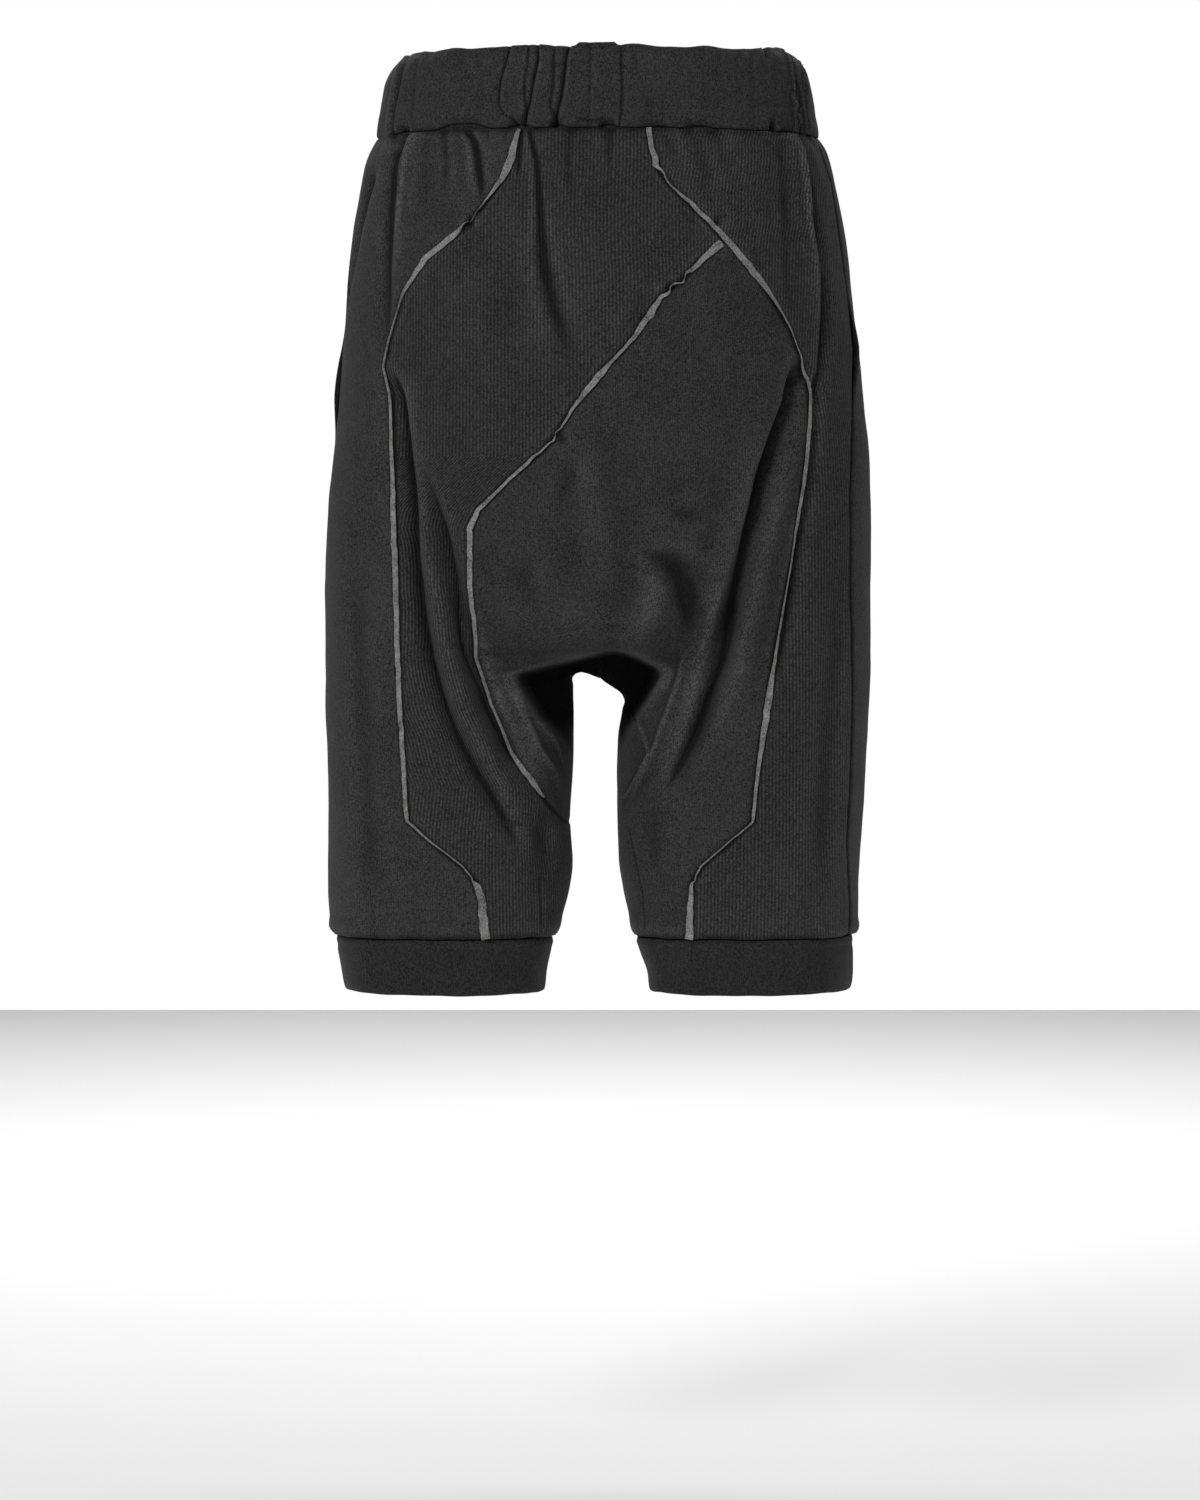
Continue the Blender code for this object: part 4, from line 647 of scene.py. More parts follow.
# ---------------------------------------------------------------------------------------------------------
# The seat: plain jersey, a pointed panel from the right seam under the diagonal one. It drops into the pouch
# between the legs, forks at the crotch, and runs down the right leg.
# ---------------------------------------------------------------------------------------------------------
def make_seat():
    """One grid down to the crotch, then a grid down the right leg and a tapering one down the left."""
    below = ROWS <= TIP_TOP
    rows = ROWS[below]
    first, last = edge_turns(RIGHT_SEAM, HALF)[below], edge_turns(CROSS_SEAM, -HALF)[below]
    last[0] = first[0] + TIP_WIDTH
    split, columns = 86, 130
    legs = rows < CROTCH
    share = smooth((-225 - rows) / 130)[:, None]
    even = np.linspace(0, 1, columns + 1)
    straight = first[:, None] + (last - first)[:, None] * even
    parted = np.where(
        even <= split / columns, first[:, None] * (1 - even * columns / split),
        np.maximum(last, TIP_WIDTH)[:, None] * (even * columns - split) / (columns - split),
    )
    turns = straight * (1 - share) + parted * share
    gap = edge_turns(MIDDLE_BACK, HALF, rows)
    turns[legs, split] = -gap[legs]
    sliver = turns[:, split:].copy()
    reach = np.maximum(last, gap + TIP_WIDTH)[:, None]
    even = np.linspace(0, 1, columns + 1 - split)
    sliver[legs] = (gap[:, None] * (1 - even) + reach * even)[legs]
    right, left = cloth(turns[:, :split + 1], rows[:, None]), cloth(sliver, rows[:, None])
    ids = np.arange(turns[:, :split + 1].size).reshape(-1, split + 1)
    side_ids = ids.size + np.arange(sliver.size).reshape(sliver.shape)
    side_ids[~legs, 0] = ids[~legs, split]
    whole = grid_normals(cloth(turns, rows[:, None]))
    right_normal, left_normal = grid_normals(right), grid_normals(left)
    right_normal[~legs], left_normal[~legs] = whole[~legs, :split + 1], whole[~legs, split:]
    cut = np.concatenate([cut_of(turns[:, :split + 1], right, -0.12), cut_of(sliver, left, 0.0)])
    offset = cut_of(turns, np.concatenate([right, left[:, 1:]], axis=1), -0.12).reshape(*turns.shape, 3)
    cut[ids.size:, :2] = offset[:, split:, :2].reshape(-1, 2)
    trunk = np.repeat(~legs, columns + 1 - split)
    cut[ids.size:, 2] = np.where(trunk, offset[:, split:, 2].ravel(), cut[ids.size:, 2])
    trunk = np.repeat(~legs, split + 1)
    cut[:ids.size, 2] = np.where(trunk, offset[:, :split + 1, 2].ravel(), cut[:ids.size, 2])
    quads = np.concatenate([grid_quads(ids), grid_quads(side_ids[rows >= TIP_LOW])])
    used, quads = np.unique(quads, return_inverse=True)
    points = np.concatenate([right.reshape(-1, 3), left.reshape(-1, 3)])[used]
    normal = np.concatenate([right_normal.reshape(-1, 3), left_normal.reshape(-1, 3)])[used]
    return make_wall("seat_cloth", points, normal, quads.reshape(-1, 4), cut[used], jersey)


finish_panel(make_seat(), "back_seat")


# ---------------------------------------------------------------------------------------------------------
# Pocket bags: thin cotton pocketing sewn flat, lying inside each front behind the mouth in the side seam.
# ---------------------------------------------------------------------------------------------------------
BAG_THICK, BAG_TOP, BAG_LOW, BAG_INSET = 1.2, -148.0, -300.0, 3.6
pocketing = knit("cotton_pocketing", "#232425", "#343536", pitch=1.8, groove_shade=0.1, relief=0.1, sheen=0.15)


def make_bag(name, node, sign):
    """A pocket bag: the cloth of the front, copied from just behind the side seam forward, and moved inward.
    """
    rows = ROWS[(ROWS <= BAG_TOP) & (ROWS >= BAG_LOW)]
    seam = np.abs(np.interp(rows, HEIGHTS, SIDE_LEFT if sign > 0 else SIDE_RIGHT))
    turns = sign * (seam[:, None] - 0.012 + 0.20 * np.linspace(0, 1, 30))
    turns = turns[:, ::sign]
    points = cloth(turns, rows[:, None], lip=0.0)
    normal = grid_normals(points)
    quads = grid_quads(np.arange(turns.size).reshape(turns.shape))
    points, cut = points - normal * BAG_INSET, cut_of(turns, points, 0.55 * sign)
    made = make_wall(name, points.reshape(-1, 3), normal.reshape(-1, 3), quads, cut, pocketing, BAG_THICK)
    return finish_panel(made, node)


make_bag("left_pocket_bag", "pocket_bag_left", 1)
make_bag("right_pocket_bag", "pocket_bag_right", -1)


# ---------------------------------------------------------------------------------------------------------
# Raw seam edges: the allowances of the three curved back seams, left outside and unhemmed. The cut shows the
# pale undyed heart of the yarn, and the strip twists, narrows and curls as it runs.
# ---------------------------------------------------------------------------------------------------------
def cut_yarn():
    """The cut edge of the knit: grey cotton fibre ends, fuzzy, flecked light and dark, with no shine."""
    made = bpy.data.materials.new("raw_cut_cotton")
    made.use_nodes = True
    tree = made.node_tree
    shader = tree.nodes["Principled BSDF"]
    spot = add_node(tree, "TexCoord").outputs["Object"]
    fibre = add_node(tree, "TexNoise", [(spot, "Vector")], in_Scale=900.0, in_Detail=4.0, in_Roughness=0.75)
    patch = add_node(tree, "TexNoise", [(spot, "Vector")], in_Scale=110.0, in_Detail=2.0)
    mixed = add_node(tree, "Math", [(fibre, 0), (patch, 2)], operation="MULTIPLY_ADD", in_1=2.6)
    tone = add_node(tree, "Math", [(mixed, 0)], operation="SUBTRACT", in_1=1.3, use_clamp=True)
    shades = {"in_6": linear("#403f3e"), "in_7": linear("#b2b1ac")}
    colour = add_node(tree, "Mix", [(tone, 0)], data_type="RGBA", **shades)
    bump = add_node(tree, "Bump", [(fibre, "Height")], in_Distance=0.0006, in_Strength=1.0)
    tree.links.new(colour.outputs[2], shader.inputs["Base Color"])
    tree.links.new(bump.outputs[0], shader.inputs["Normal"])
    shader.inputs["Roughness"].default_value = 0.95
    shader.inputs["Specular IOR Level"].default_value = 0.1
    shader.inputs["Sheen Weight"].default_value = 0.3
    return made


raw_cotton = cut_yarn()
EDGE_THICK, EDGE_STEP, EDGE_LIFT = 0.9, 1.3, 0.7        # thickness, spacing along the strip, air under it
EDGE_POINTS = 9             # across each face of the strip


def make_raw_edge(name, node, line, table, kinks):
    """A ribbon along a seam. table rows: z, mm to the right and to the left of the seam, tilt in degrees.

    Each kink moves it aside as a bell: z, mm to the left, reach.
    """
    table = np.array(table, float)
    top, low = table[0, 0], table[-1, 0]
    z = np.linspace(top, low, 900)
    path = cloth(np.interp(z, HEIGHTS, line), z)
    far = far_along(path, 0)
    along = np.linspace(0, far[-1], int(far[-1] / EDGE_STEP))
    z = np.interp(along, far, z)
    path = np.stack([np.interp(along, far, path[:, n]) for n in range(3)], axis=-1)
    normal = form_normal(np.interp(z, HEIGHTS, line), z)[0]
    way = unit(np.gradient(path, axis=0))
    left = unit(np.cross(way, normal))
    normal = np.cross(left, way)
    right_wide, left_wide, tilt = (np.interp(z, table[::-1, 0], table[::-1, n]) for n in (1, 2, 3))
    zero = np.zeros(z.shape)
    frayed = 0.16 * ripple(zero, along, 7.0, 21) + 0.10 * ripple(zero, along, 3.4, 22)
    bells = (aside * np.exp(-(((z - at) / reach) ** 2)) for at, aside, reach in kinks)
    sway = 0.30 * ripple(zero, along, 34.0, 23) + sum(bells)
    tilt = np.radians(tilt + 9 * ripple(zero, along, 24.0, 24))
    share = np.linspace(-1, 1, EDGE_POINTS)
    wide = np.where(share < 0, (right_wide * (1 + frayed))[:, None], (left_wide * (1 - frayed))[:, None])
    u = share * wide
    curl = 0.10 * (1 + ripple(zero, along, 18.0, 25))[:, None] * u ** 2 / np.maximum(wide, 0.5)
    turned = np.abs(np.sin(tilt)) * np.maximum(right_wide, left_wide) * 0.5
    lift = EDGE_LIFT + SEAM_DIP * 0.7 + turned[:, None] + curl
    c, s = np.cos(tilt)[:, None], np.sin(tilt)[:, None]
    a = (sway[:, None] + u * c)[..., None] * left[:, None] + (lift + u * s)[..., None] * normal[:, None]
    low_side = path[:, None] + a
    high_side = low_side + normal[:, None] * EDGE_THICK
    ring = np.concatenate([high_side, low_side[:, ::-1]], axis=1)
    around = 2 * EDGE_POINTS
    ids = np.arange(ring.shape[0] * around).reshape(-1, around)
    there = np.roll(ids, -1, axis=1)
    sides = np.stack([ids[:-1], ids[1:], there[1:], there[:-1]], axis=-1).reshape(-1, 4)
    n = np.arange(EDGE_POINTS - 1)
    cap = np.stack([ids[0, n], ids[0, n + 1], ids[0, around - 2 - n], ids[0, around - 1 - n]], axis=-1)
    end = np.stack([ids[-1, n], ids[-1, around - 1 - n], ids[-1, around - 2 - n], ids[-1, n + 1]], axis=-1)
    round_it = np.concatenate([u, u[:, ::-1]], axis=1)
    down = np.repeat(along[:, None], around, axis=1)
    cut = np.stack([round_it, down, 0 * round_it], axis=-1).reshape(-1, 3) / 1000
    made = make_object(name, ring.reshape(-1, 3), np.concatenate([sides, cap, end]), cut, raw_cotton)
    # The length is the strip's own.
    wide, long = max((right_wide + left_wide).mean(), 3.001), far[-1]
    return finish_panel(made, node)


make_raw_edge("left_raw_edge", "seam_edge_left", LEFT_SEAM, (
    (-29.6, 1.0, 1.3, 10), (-43, 1.9, 2.5, 8), (-52, 3.0, 2.6, 4), (-61, 3.2, 3.0, 0), (-68, 2.4, 2.0, -8),
    (-76, 1.5, 1.3, -16), (-86, 0.9, 0.9, -35), (-95, 0.5, 0.4, -70), (-100, 0.3, 0.3, -85),
    (-105, 1.0, 1.2, -20), (-111, 2.2, 2.4, 5), (-120, 1.9, 2.3, 10), (-130, 1.8, 2.2, 12),
    (-142, 1.2, 1.4, 30), (-161, 0.4, 0.6, 65), (-182, 0.4, 0.5, 70), (-212, 0.6, 0.7, 45),
    (-240, 1.0, 1.0, 20), (-257, 1.3, 1.3, 12), (-288, 1.5, 1.4, 10), (-319, 2.1, 1.9, 8),
    (-350, 2.1, 2.1, 12), (-400, 1.9, 1.8, 10), (-446, 1.9, 1.8, 6), (-493, 1.6, 1.6, 10),
    (-542, 1.6, 1.5, 0), (-548, 0.9, 0.7, 40), (-564, 0.7, 0.8, 50), (-581, 0.6, 0.6, 35),
    (-590, 0.6, 0.5, 40), (-594, 2.2, 2.4, 0), (-604, 2.8, 3.1, 0), (-635, 3.2, 3.5, 0),
), (
    (-97, -1.5, 2.5), (-103, 1.3, 3), (-128, -1.0, 12), (-150, -1.0, 14), (-565, -1.0, 14), (-591, 1.5, 2),
))
make_raw_edge("right_raw_edge", "seam_edge_right", RIGHT_SEAM, (
    (-29.6, 2.0, 2.0, 0), (-46, 1.8, 1.8, 0), (-57, 2.7, 2.2, 0), (-61, 1.6, 1.0, 20), (-66, 0.7, 0.7, 45),
    (-78, 0.9, 0.9, 25), (-89, 1.4, 1.6, 5), (-105, 1.7, 1.9, 0), (-116, 2.0, 2.2, 0), (-133, 2.8, 2.7, 0),
    (-142, 2.5, 2.4, 6), (-158, 1.6, 1.4, 20), (-176, 0.9, 0.9, 45), (-195, 0.8, 1.0, 40),
    (-217, 1.7, 1.4, 5), (-226, 1.3, 1.1, 10), (-257, 1.5, 1.6, 8), (-288, 1.5, 1.6, 10),
    (-319, 1.3, 1.3, 20), (-347, 0.8, 0.8, 40), (-378, 0.7, 0.9, 40), (-409, 0.9, 1.0, 30),
    (-431, 1.2, 1.3, 15), (-452, 2.4, 2.5, 0), (-477, 2.1, 2.2, 0), (-499, 1.5, 1.6, 8),
    (-524, 1.2, 1.3, 15), (-542, 1.2, 1.3, 15), (-549, 0.7, 0.7, 40), (-583, 0.7, 0.7, 35),
    (-590, 0.6, 0.5, 60), (-595, 1.2, 1.2, 10), (-614, 2.5, 2.4, 0), (-635, 3.2, 3.0, 0),
), (
    (-58, 1.2, 3), (-64, -1.3, 3), (-88, -0.9, 5), (-104, -1.2, 9), (-165, -0.9, 12), (-566, 1.0, 12),
    (-590, -1.4, 2),
))
make_raw_edge("diagonal_raw_edge", "seam_edge_cross", CROSS_SEAM, (
    (-116, 3.0, 3.1, 0), (-120, 2.9, 3.0, 0), (-127, 2.0, 2.2, 0), (-137, 1.6, 1.6, 25),
    (-143, 0.6, 0.8, 75), (-146, 1.1, 0.5, -60), (-149, 0.5, 0.9, 70), (-153, 1.2, 1.2, 30),
    (-162, 1.8, 1.9, 0), (-169, 3.0, 2.6, -8), (-173, 2.2, 2.6, 30), (-180, 2.0, 2.2, 0),
    (-192, 1.1, 1.3, 10), (-205, 1.1, 1.3, 20), (-214, 2.4, 2.5, 0), (-226, 2.1, 2.2, 0),
    (-238, 1.2, 1.3, 15), (-253, 0.7, 0.7, 40), (-259, 0.4, 0.5, 80), (-263, 0.9, 0.5, -50),
    (-271, 0.7, 0.7, 30), (-280, 1.2, 1.2, 10), (-300, 1.1, 1.1, 15), (-314, 1.5, 1.6, 10),
    (-325, 2.1, 2.2, 0), (-345, 1.9, 1.9, 0), (-368, 1.9, 1.8, 0), (-393, 1.5, 1.6, 5),
    (-430, 1.2, 1.3, 15), (-468, 1.1, 1.1, 20), (-490, 1.2, 1.3, 10), (-505, 1.8, 1.8, 0),
    (-520, 2.1, 2.2, 0), (-529, 0.6, 0.6, 0),
), (
    (-140, 1.5, 1.8), (-144.5, -1.8, 1.8), (-149, 1.8, 1.8), (-154, -1.2, 2), (-170, -1.2, 3),
    (-257, 1.3, 2), (-262, -1.4, 2), (-276, 0.9, 4),
))


# ---------------------------------------------------------------------------------------------------------
# Waistband: jersey folded over wide elastic and stretched while it was sewn, so it draws up in uneven folds.
# ---------------------------------------------------------------------------------------------------------
BAND_THICK = 4.6
BAND_FOLDS = {              # depth, reach left and right, point, then (x, z) down the fold
    "back": (
        (4.6, 3.6, 1.3, 1.2, ((67, 34), (68, 26), (70, 17), (73, 8), (74.5, -1), (75, -12), (72, -18),
         (66, -23), (62, -30))),
        (2.6, 1.2, 2.4, 1.3, ((53, 34), (53.6, 17), (55.5, 8), (56, -4), (54.5, -16), (55, -30))),
        (6.0, 2.8, 1.1, 1.1, ((46.5, 34), (45.5, 20), (47.8, 10), (49.5, 2), (51.5, -11), (54, -20),
         (57, -30))),
        (3.0, 2.0, 1.8, 1.3, ((33.6, 34), (34.3, 18), (34.6, 2), (37, -14), (34, -22), (31, -30))),
        (7.0, 3.0, 1.2, 1.1, ((21, 34), (24, 27), (25.4, 16), (26.8, 2), (28.4, -8), (31.3, -20),
         (33, -30))),
        (1.4, 2.4, 1.8, 1.5, ((6.7, 34), (7.2, 13), (8.2, -17), (8.4, -30))),
        (2.8, 1.4, 2.2, 1.3, ((-15.7, 34), (-15.7, 18), (-16.4, 0), (-15.7, -17), (-14, -30))),
        (0.8, 5, 6, 2, ((-34, 34), (-38, -30))), (0.7, 6, 6, 2, ((-62, 34), (-58, -30))),
        (0.9, 5, 5, 2, ((-90, 34), (-86, -30))), (1.2, 4, 5, 1.8, ((-112, 34), (-116, -30))),
        (0.8, 6, 6, 2, ((104, 34), (101, -30))), (1.0, 5, 5, 2, ((88, 34), (92, -30))),
        (1.8, 3, 5, 1.6, ((136, 34), (139, 10), (141, -30))),
        (6.0, 1.8, 5, 1.2, ((146, 34), (149, 18), (153, 0), (156, -14), (159, -30))),
        (-2.6, 1.0, 1.2, 1.3, ((-136.8, 34), (-141.8, 22), (-143.5, 13), (-144.3, 3), (-143.6, -2),
         (-145.5, -14), (-147.5, -30))),
        (2.6, 1.4, 1.4, 1.3, ((-145.5, 26), (-147, 12), (-147.6, 2), (-146.6, -8))),
        (-2.6, 0.9, 1.1, 1.3, ((-146, 15), (-149.3, 6), (-150.5, -4), (-149, -13))),
        (-2.6, 1.0, 1.2, 1.3, ((-143.2, -4), (-146.8, -13), (-150.5, -24), (-153, -34))),
        (3.0, 1.2, 2.0, 1.3, ((-149.5, -8), (-152, -18), (-156, -30))),
        (-2.0, 0.8, 1.2, 1.3, ((-151, 26), (-152.2, 13), (-151.7, 1), (-150, -13))),
        (3.4, 1.2, 2.6, 1.2, ((-153, 20), (-154.5, 6), (-154, -8), (-156.5, -24))),
        (0.8, 3, 3, 1.6, ((-131, 34), (-129, -30))), (7.5, 3.6, 2.6, 1.5, ((-124, 36), (-126, 26))),
        (-2.0, 3, 3, 1.6, ((-117, 36), (-117, 22))),
    ),
    "front": (
        (3.0, 2, 4, 1.4, ((149, 34), (151, -30))), (2.0, 4, 3, 1.6, ((136, 34), (132, -30))),
        (3.2, 4, 2, 1.3, ((122, 34), (124, 8), (121, -30))), (1.4, 5, 4, 1.8, ((108, 34), (110, -30))),
        (3.6, 2, 4, 1.3, ((95, 34), (92, 4), (96, -30))), (1.6, 4, 4, 1.7, ((80, 34), (83, -30))),
        (2.8, 3, 2, 1.4, ((66, 34), (64, -30))), (1.2, 5, 5, 2, ((50, 34), (52, -30))),
        (3.8, 4, 1.6, 1.25, ((36, 34), (33, 6), (37, -30))), (1.8, 3, 4, 1.6, ((21, 34), (23, -30))),
        (3.0, 2, 3.6, 1.4, ((6, 34), (4, 0), (7, -30))), (1.4, 4, 4, 1.8, ((-11, 34), (-8, -30))),
        (3.6, 1.6, 4, 1.25, ((-27, 34), (-24, 4), (-28, -30))), (1.8, 4, 3, 1.6, ((-43, 34), (-44, -30))),
        (2.8, 3, 2, 1.4, ((-58, 34), (-56, -30))), (1.2, 5, 5, 2, ((-75, 34), (-78, -30))),
        (3.4, 4, 1.8, 1.3, ((-91, 34), (-94, 6), (-90, -30))), (1.6, 4, 4, 1.7, ((-107, 34), (-104, -30))),
        (3.0, 2, 4, 1.4, ((-122, 34), (-124, -30))), (2.2, 3, 3, 1.5, ((-138, 34), (-136, -30))),
        (2.8, 4, 2, 1.4, ((-150, 34), (-152, -30))),
    ),
}
BAND_FOLDS = [(face, *fold) for face, folds in BAND_FOLDS.items() for fold in folds]
BAND_LINES = [traced(fold[-1], fold[0]) for fold in BAND_FOLDS]
# where folds bunch at the lower seam: x, mm in, reach, mm up
BAND_KNOTS = (
    (104, 3.0, 18, 4.6), (60, 5.5, 8, 2.8), (32, 6.0, 5, 2.4), (-6, 5.5, 6, 2.4), (-42, 2.0, 8, 1.2),
    (-74, 3.0, 10, 2.4), (-131, 6, 3.2, 3.4), (-153, 6, 3, 3.0), (149, 6.5, 6, 2.0), (165, -1.0, 12, -9.0),
)
BAND_COLUMNS = 1240


def band_profile():
    """The band in section, up the outside and down the inside: height and stand-off from the worn form.

    Inside, the seam allowance hangs 8 mm below the seam and covers it.
    """
    t = np.linspace(-1, 1, 32)
    outer = np.stack([1.0 + 28.6 * t, -0.4 + 2.8 * (1 - np.abs(t) ** 5)], axis=-1)
    turn = np.linspace(0, np.pi, 7)[1:-1]
    half = BAND_THICK / 2
    cap = np.stack([29.6 + half * 0.75 * np.sin(turn), -0.4 - half + half * np.cos(turn)], axis=-1)
    inner = np.stack([1.0 + 28.6 * t[::-2], -0.4 - BAND_THICK - 0.3 * np.abs(t[::-2])], axis=-1)
    allowance = np.array([(-31, -5.2), (-35.5, -5.2), (-36.2, -4.7), (-35.5, -4.2), (-32, -4.1), (-29, -4.0)])
    foot = np.stack([-27.8 - half * 0.5 * np.sin(turn), -0.4 - half - half * 0.8 * np.cos(turn)], axis=-1)
    return np.concatenate([outer, cap, inner, allowance, foot])


def ring_of(name, turns, section, place, stuff):
    """A closed ring. place gives the points for a grid of turns by section points, joined both ways round."""
    ids = np.arange(len(section) * len(turns)).reshape(len(section), -1)
    points = place(*np.broadcast_arrays(turns[None], section[:, :1], section[:, 1:]))
    right, above = np.roll(ids, -1, axis=1), np.roll(ids, -1, axis=0)
    quads = np.stack([ids, above, np.roll(right, -1, axis=0), right], axis=-1).reshape(-1, 4)
    # The proud value is painted shade in the band's creases and painted highlight on its ridges.
    across, stand = far_along(points, 1), proud(points, -grid_normals(points), 2.4)
    down = np.broadcast_to(section[:, :1], across.shape)
    cut = np.stack([across, down, stand * 1000], axis=-1).reshape(-1, 3) / 1000
    return make_object(name, points.reshape(-1, 3), quads, cut, stuff)


def band_point(turn, z, stand):
    """The band's surface: the worn form, moved out by the stand-off and in by its folds."""
    held = np.clip(z, -30.0, 32.0)
    normal, pace = form_normal(turn, np.zeros(turn.shape))
    push = 0.5 * ripple(turn, z * 0.4, 34.0, 31) + 0.25 * ripple(turn, z, 13.0, 32)
    for (_, depth, left, right, point, path), line in zip(BAND_FOLDS, BAND_LINES):
        across = ((turn - np.interp(held, HEIGHTS, line) + 1) % 2 - 1) * pace
        reach = np.where(across > 0, left, right)
        bell = np.exp(-np.minimum(np.abs(across) / reach, 9.0) ** point) - 0.30 * np.exp(-((across / 9) ** 2))
        push += depth * bell * smooth((path[0][1] + 8 - z) / 8) * smooth((z + 8 - path[-1][1]) / 8)
    up = np.zeros(turn.shape)
    for x, depth, reach, rise in BAND_KNOTS:
        across = (turn - at_turn(x, -28.0, "back")) * pace
        knot = np.exp(-((across / reach) ** 4))
        push += depth * knot * np.exp(-(((z + 30) / 5.0) ** 2))
        up += rise * knot * smooth((4.0 - z) / 30)
    push = np.where(stand < -1.5, 0.8 * push, push)
    points = worn_form(turn, np.clip(z, -29.0, 30.0)) + normal * (stand - push)[..., None]
    rise = 1.0 * ripple(turn, 0 * z, 60.0, 33) + 0.5 * ripple(turn, 0 * z, 17.0, 34)
    rise += 3.6 * np.exp(-(((points[..., 0] + 131) / 11) ** 4)) * (points[..., 1] > 0)
    raised = 2.4 * smooth((16.5 - np.abs(points[..., 0] - 2.5)) / 4) * (points[..., 1] > 0)
    lifted = (rise + raised + 0.8) * smooth((z + 10) / 38)
    points[..., 2] = z + lifted - 0.12 * push * smooth((z - 10) / 20) + up
    return points


even = np.linspace(-1, 1, BAND_COLUMNS + 1)[:-1]
band_turns = even - 0.4 * np.sin(even * np.pi) / np.pi      # closer together at the back than in front
band = ring_of("waistband_cloth", band_turns, band_profile(), band_point, jersey)
finish_panel(band, "waistband")


# ---------------------------------------------------------------------------------------------------------
# Tacking at the middle of the back: short rows of black zigzag thread that hold the elastic in the band.
# ---------------------------------------------------------------------------------------------------------
THREAD_RADIUS = 0.38
thread = knit(
    "black_polyester_thread", "#0e0e0f", "#1c1c1d", pitch=0.6, groove_shade=0.3, relief=0.05, roughness=0.5,
)


def make_tacking(name, x_from, x_to, z, zigs, tall):
    """A zigzag on the band: a round thread of six sides swept along points that step up and down."""
    x = np.linspace(x_from, x_to, zigs * 6 + 1)
    wave = np.abs((np.arange(len(x)) / 6) % 2 - 1) * tall - tall / 2
    turns = np.array([at_turn(v, z, "back") for v in x])
    stand = np.interp(z, band_profile()[:32, 0], band_profile()[:32, 1])
    path = band_point(turns, z + wave, np.full(x.shape, stand))
    normal = form_normal(turns, np.full(x.shape, float(z)))[0]
    path += normal * (0.15 + 0.25 * np.abs(np.sin(np.arange(len(x)) * np.pi / 6)))[:, None]
    side = np.cross(unit(np.gradient(path, axis=0)), normal)
    angle = np.linspace(0, 2 * np.pi, 7)[:-1]
    round_it = np.cos(angle)[:, None] * side[:, None] + np.sin(angle)[:, None] * normal[:, None]
    ring = path[:, None] + THREAD_RADIUS * round_it
    ids = np.arange(len(x) * 6).reshape(-1, 6)
    there = np.roll(ids, -1, axis=1)
    quads = np.stack([ids[:-1], there[:-1], there[1:], ids[1:]], axis=-1).reshape(-1, 4)
    caps = [ids[0, [3, 2, 1, 0]], ids[0, [5, 4, 3, 0]], ids[-1, [0, 1, 2, 3]], ids[-1, [0, 3, 4, 5]]]
    faces = np.concatenate([quads, caps])
    made = make_object(name, ring.reshape(-1, 3), faces, np.zeros((len(x) * 6, 3)), thread)
    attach(made, "root")
    return made


make_tacking("lower_tacking", 18, -2, -24.0, 12, 2.2)
make_tacking("upper_tacking", 14, 7, 27.5, 5, 2.0)
make_tacking("upper_tacking_end", 0, -3.5, 27.5, 3, 2.0)


# ---------------------------------------------------------------------------------------------------------
# Cuffs: a doubled band of the jersey sewn to each leg, a little smaller than the leg, so the cloth eases in.
# ---------------------------------------------------------------------------------------------------------
CUFF_THICK, CUFF_TOP, CUFF_COLUMNS = 3.6, -636.2, 380
# The same jersey as the legs, drawn darker at the cuffs.
cuff_jersey = knit("doubled_cuff_jersey", "#131314", "#3c3c3d", pitch=1.8, groove_shade=0.2, relief=0.3)


def cuff_profile():
    """A cuff in section, up the outside and down the inside: height and stand-off from the worn form.

    Inside, the seam allowance stands 8 mm above the seam and covers it.
    """
    t = np.linspace(-1, 1, 22)
    middle, reach, half = (CUFF_TOP + HEM) / 2, (CUFF_TOP - HEM) / 2 - 1.2, CUFF_THICK / 2
    outer = np.stack([middle + reach * t, 2.0 - 0.8 * t ** 6], axis=-1)
    turn = np.linspace(0, np.pi, 6)[1:-1]
    cap = np.stack([middle + reach + 1.2 * np.sin(turn), 1.2 - half + half * np.cos(turn)], axis=-1)
    allowance = [(0.6, -2.6), (4, -2.8), (7.5, -2.9), (8.1, -3.4), (7.5, -3.9), (3, -3.8), (0, -3.7)]
    allowance = np.array(allowance) + np.array([middle + reach, 0.0])
    back = t[::-2][1:]
    inner = np.stack([middle + reach * back, np.full(back.shape, 1.2 - CUFF_THICK)], axis=-1)
    foot = np.stack([middle - reach - 1.2 * np.sin(turn), 1.2 - half - half * np.cos(turn)], axis=-1)
    return np.concatenate([outer, cap, allowance, inner, foot])


def cuff_point(turn, z, stand):
    """The cuff's surface: the worn form of the hem, moved out by the stand-off, with a little unevenness."""
    held = np.clip(z, HEM, -641.0)
    normal = form_normal(turn, np.full(turn.shape, -664.0))[0]
    u = np.abs(turn)
    wave = np.sin(u * 6 * np.pi + 0.7) + 0.7 * np.sin(u * 14 * np.pi + 2.1 * np.sign(turn))
    wave += 0.4 * np.sin(u * 34 * np.pi)
    share = smooth((CUFF_TOP - z) / (CUFF_TOP - HEM))
    points = worn_form(turn, held) + normal * (stand + 0.35 * wave * (0.4 + share))[..., None]
    points[..., 2] = z + 0.35 * wave * share
    return points


for name, node, sign in (("left_cuff_cloth", "cuff_left", 1), ("right_cuff_cloth", "cuff_right", -1)):
    ring = (np.linspace(0, 1, CUFF_COLUMNS + 1)[:-1] + 1e-9) * sign
    ring = ring[::sign]
    cuff = ring_of(name, ring, cuff_profile(), cuff_point, cuff_jersey)
    finish_panel(cuff, node)


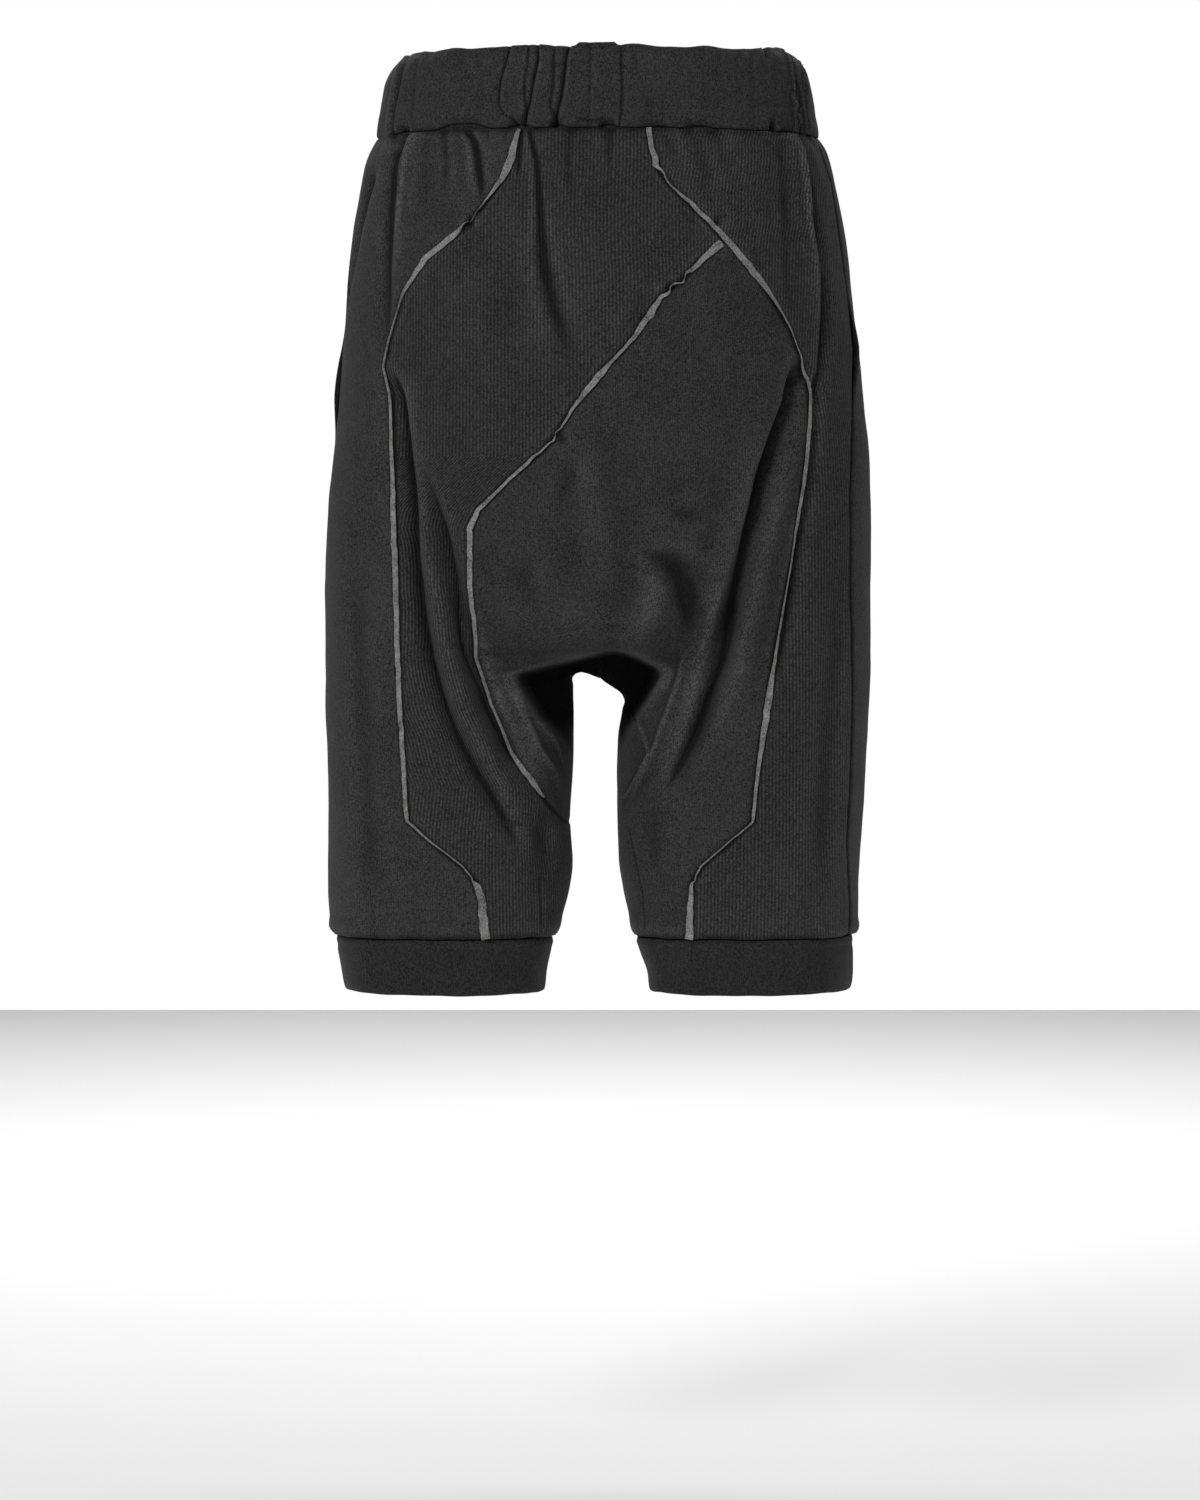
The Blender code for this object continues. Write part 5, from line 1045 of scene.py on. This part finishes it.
# ---------------------------------------------------------------------------------------------------------
# A pale floor where the wearer would stand, soft studio light from the camera's side, and the camera.
# ---------------------------------------------------------------------------------------------------------
def pale_paint():
    """Matt white studio paint, very slightly uneven."""
    made = bpy.data.materials.new("matt_studio_paint")
    made.use_nodes = True
    tree = made.node_tree
    spot = add_node(tree, "TexCoord").outputs["Object"]
    cloud = add_node(tree, "TexNoise", [(spot, "Vector")], in_Scale=1.5)
    shades = {"in_6": linear("#f4f4f4"), "in_7": linear("#fafafa")}
    colour = add_node(tree, "Mix", [(cloud, 0)], data_type="RGBA", **shades)
    tree.links.new(colour.outputs[2], tree.nodes["Principled BSDF"].inputs["Base Color"])
    tree.nodes["Principled BSDF"].inputs["Roughness"].default_value = 0.9
    return made


FLOOR, FLOOR_REACH = -1.055, 4.8
floor_mesh = bpy.data.meshes.new("studio_floor")
corners = [(x * FLOOR_REACH, y * FLOOR_REACH, FLOOR) for x, y in ((-1, -1), (1, -1), (1, 1), (-1, 1))]
floor_mesh.from_pydata(corners, [], [(0, 1, 2, 3)])
floor_mesh.materials.append(pale_paint())
studio_floor = bpy.data.objects.new("studio_floor", floor_mesh)
bpy.context.scene.collection.objects.link(studio_floor)

world = bpy.data.worlds.new("studio_white")
world.use_nodes = True
sky = world.node_tree
seen = add_node(sky, "LightPath").outputs["Is Camera Ray"]
level = add_node(sky, "MapRange", [(seen, "Value")], in_To_Min=0.12, in_To_Max=1.0)
sky.links.new(level.outputs[0], sky.nodes["Background"].inputs["Strength"])
sky.nodes["Background"].inputs["Color"].default_value = (1.0, 1.0, 1.0, 1.0)
bpy.context.scene.world = world
bpy.context.scene.view_settings.view_transform = "Standard"

SOFTBOXES = (               # place, what it faces, size in metres, watts
    ((1.6, 2.95, 1.65), (0.0, 0.0, -0.25), 1.0, 56.0),
    ((-1.8, 3.0, 0.6), (0.0, 0.0, -0.2), 1.6, 9.0),
    ((-2.4, 0.9, 0.4), (0.0, 0.0, -0.1), 0.6, 2.0),
    ((0.0, -2.4, 1.8), (0.0, 0.0, -0.3), 1.6, 26.0),
    ((0.0, -2.6, 2.3), (0.0, -2.6, -1.0), 3.2, 118.0),
)
for place, faces, wide, watts in SOFTBOXES:
    light = bpy.data.lights.new("softbox", "AREA")
    light.size, light.energy = wide, watts
    lamp = bpy.data.objects.new("softbox", light)
    lamp.location = place
    away = np.array(place) - np.array(faces)
    lean = np.arctan2(np.hypot(away[0], away[1]), away[2])
    lamp.rotation_euler = (lean, 0.0, np.arctan2(away[0], -away[1]))
    bpy.context.scene.collection.objects.link(lamp)

CAMERA_AWAY, CAMERA_HEIGHT, PIXELS_A_METRE, BELOW_MIDDLE, LONG_SIDE = 4.2, -0.381, 1305.0, 150.0, 1500.0
lens = bpy.data.cameras.new("camera")
lens.sensor_width = 36.0
lens.lens = 36.0 * PIXELS_A_METRE * CAMERA_AWAY / LONG_SIDE
camera = bpy.data.objects.new("camera", lens)
camera.location = (0.0, CAMERA_AWAY, CAMERA_HEIGHT)
camera.rotation_euler = (np.pi / 2 - np.arctan(BELOW_MIDDLE / (PIXELS_A_METRE * CAMERA_AWAY)), 0.0, np.pi)
bpy.context.scene.collection.objects.link(camera)
bpy.context.scene.camera = camera
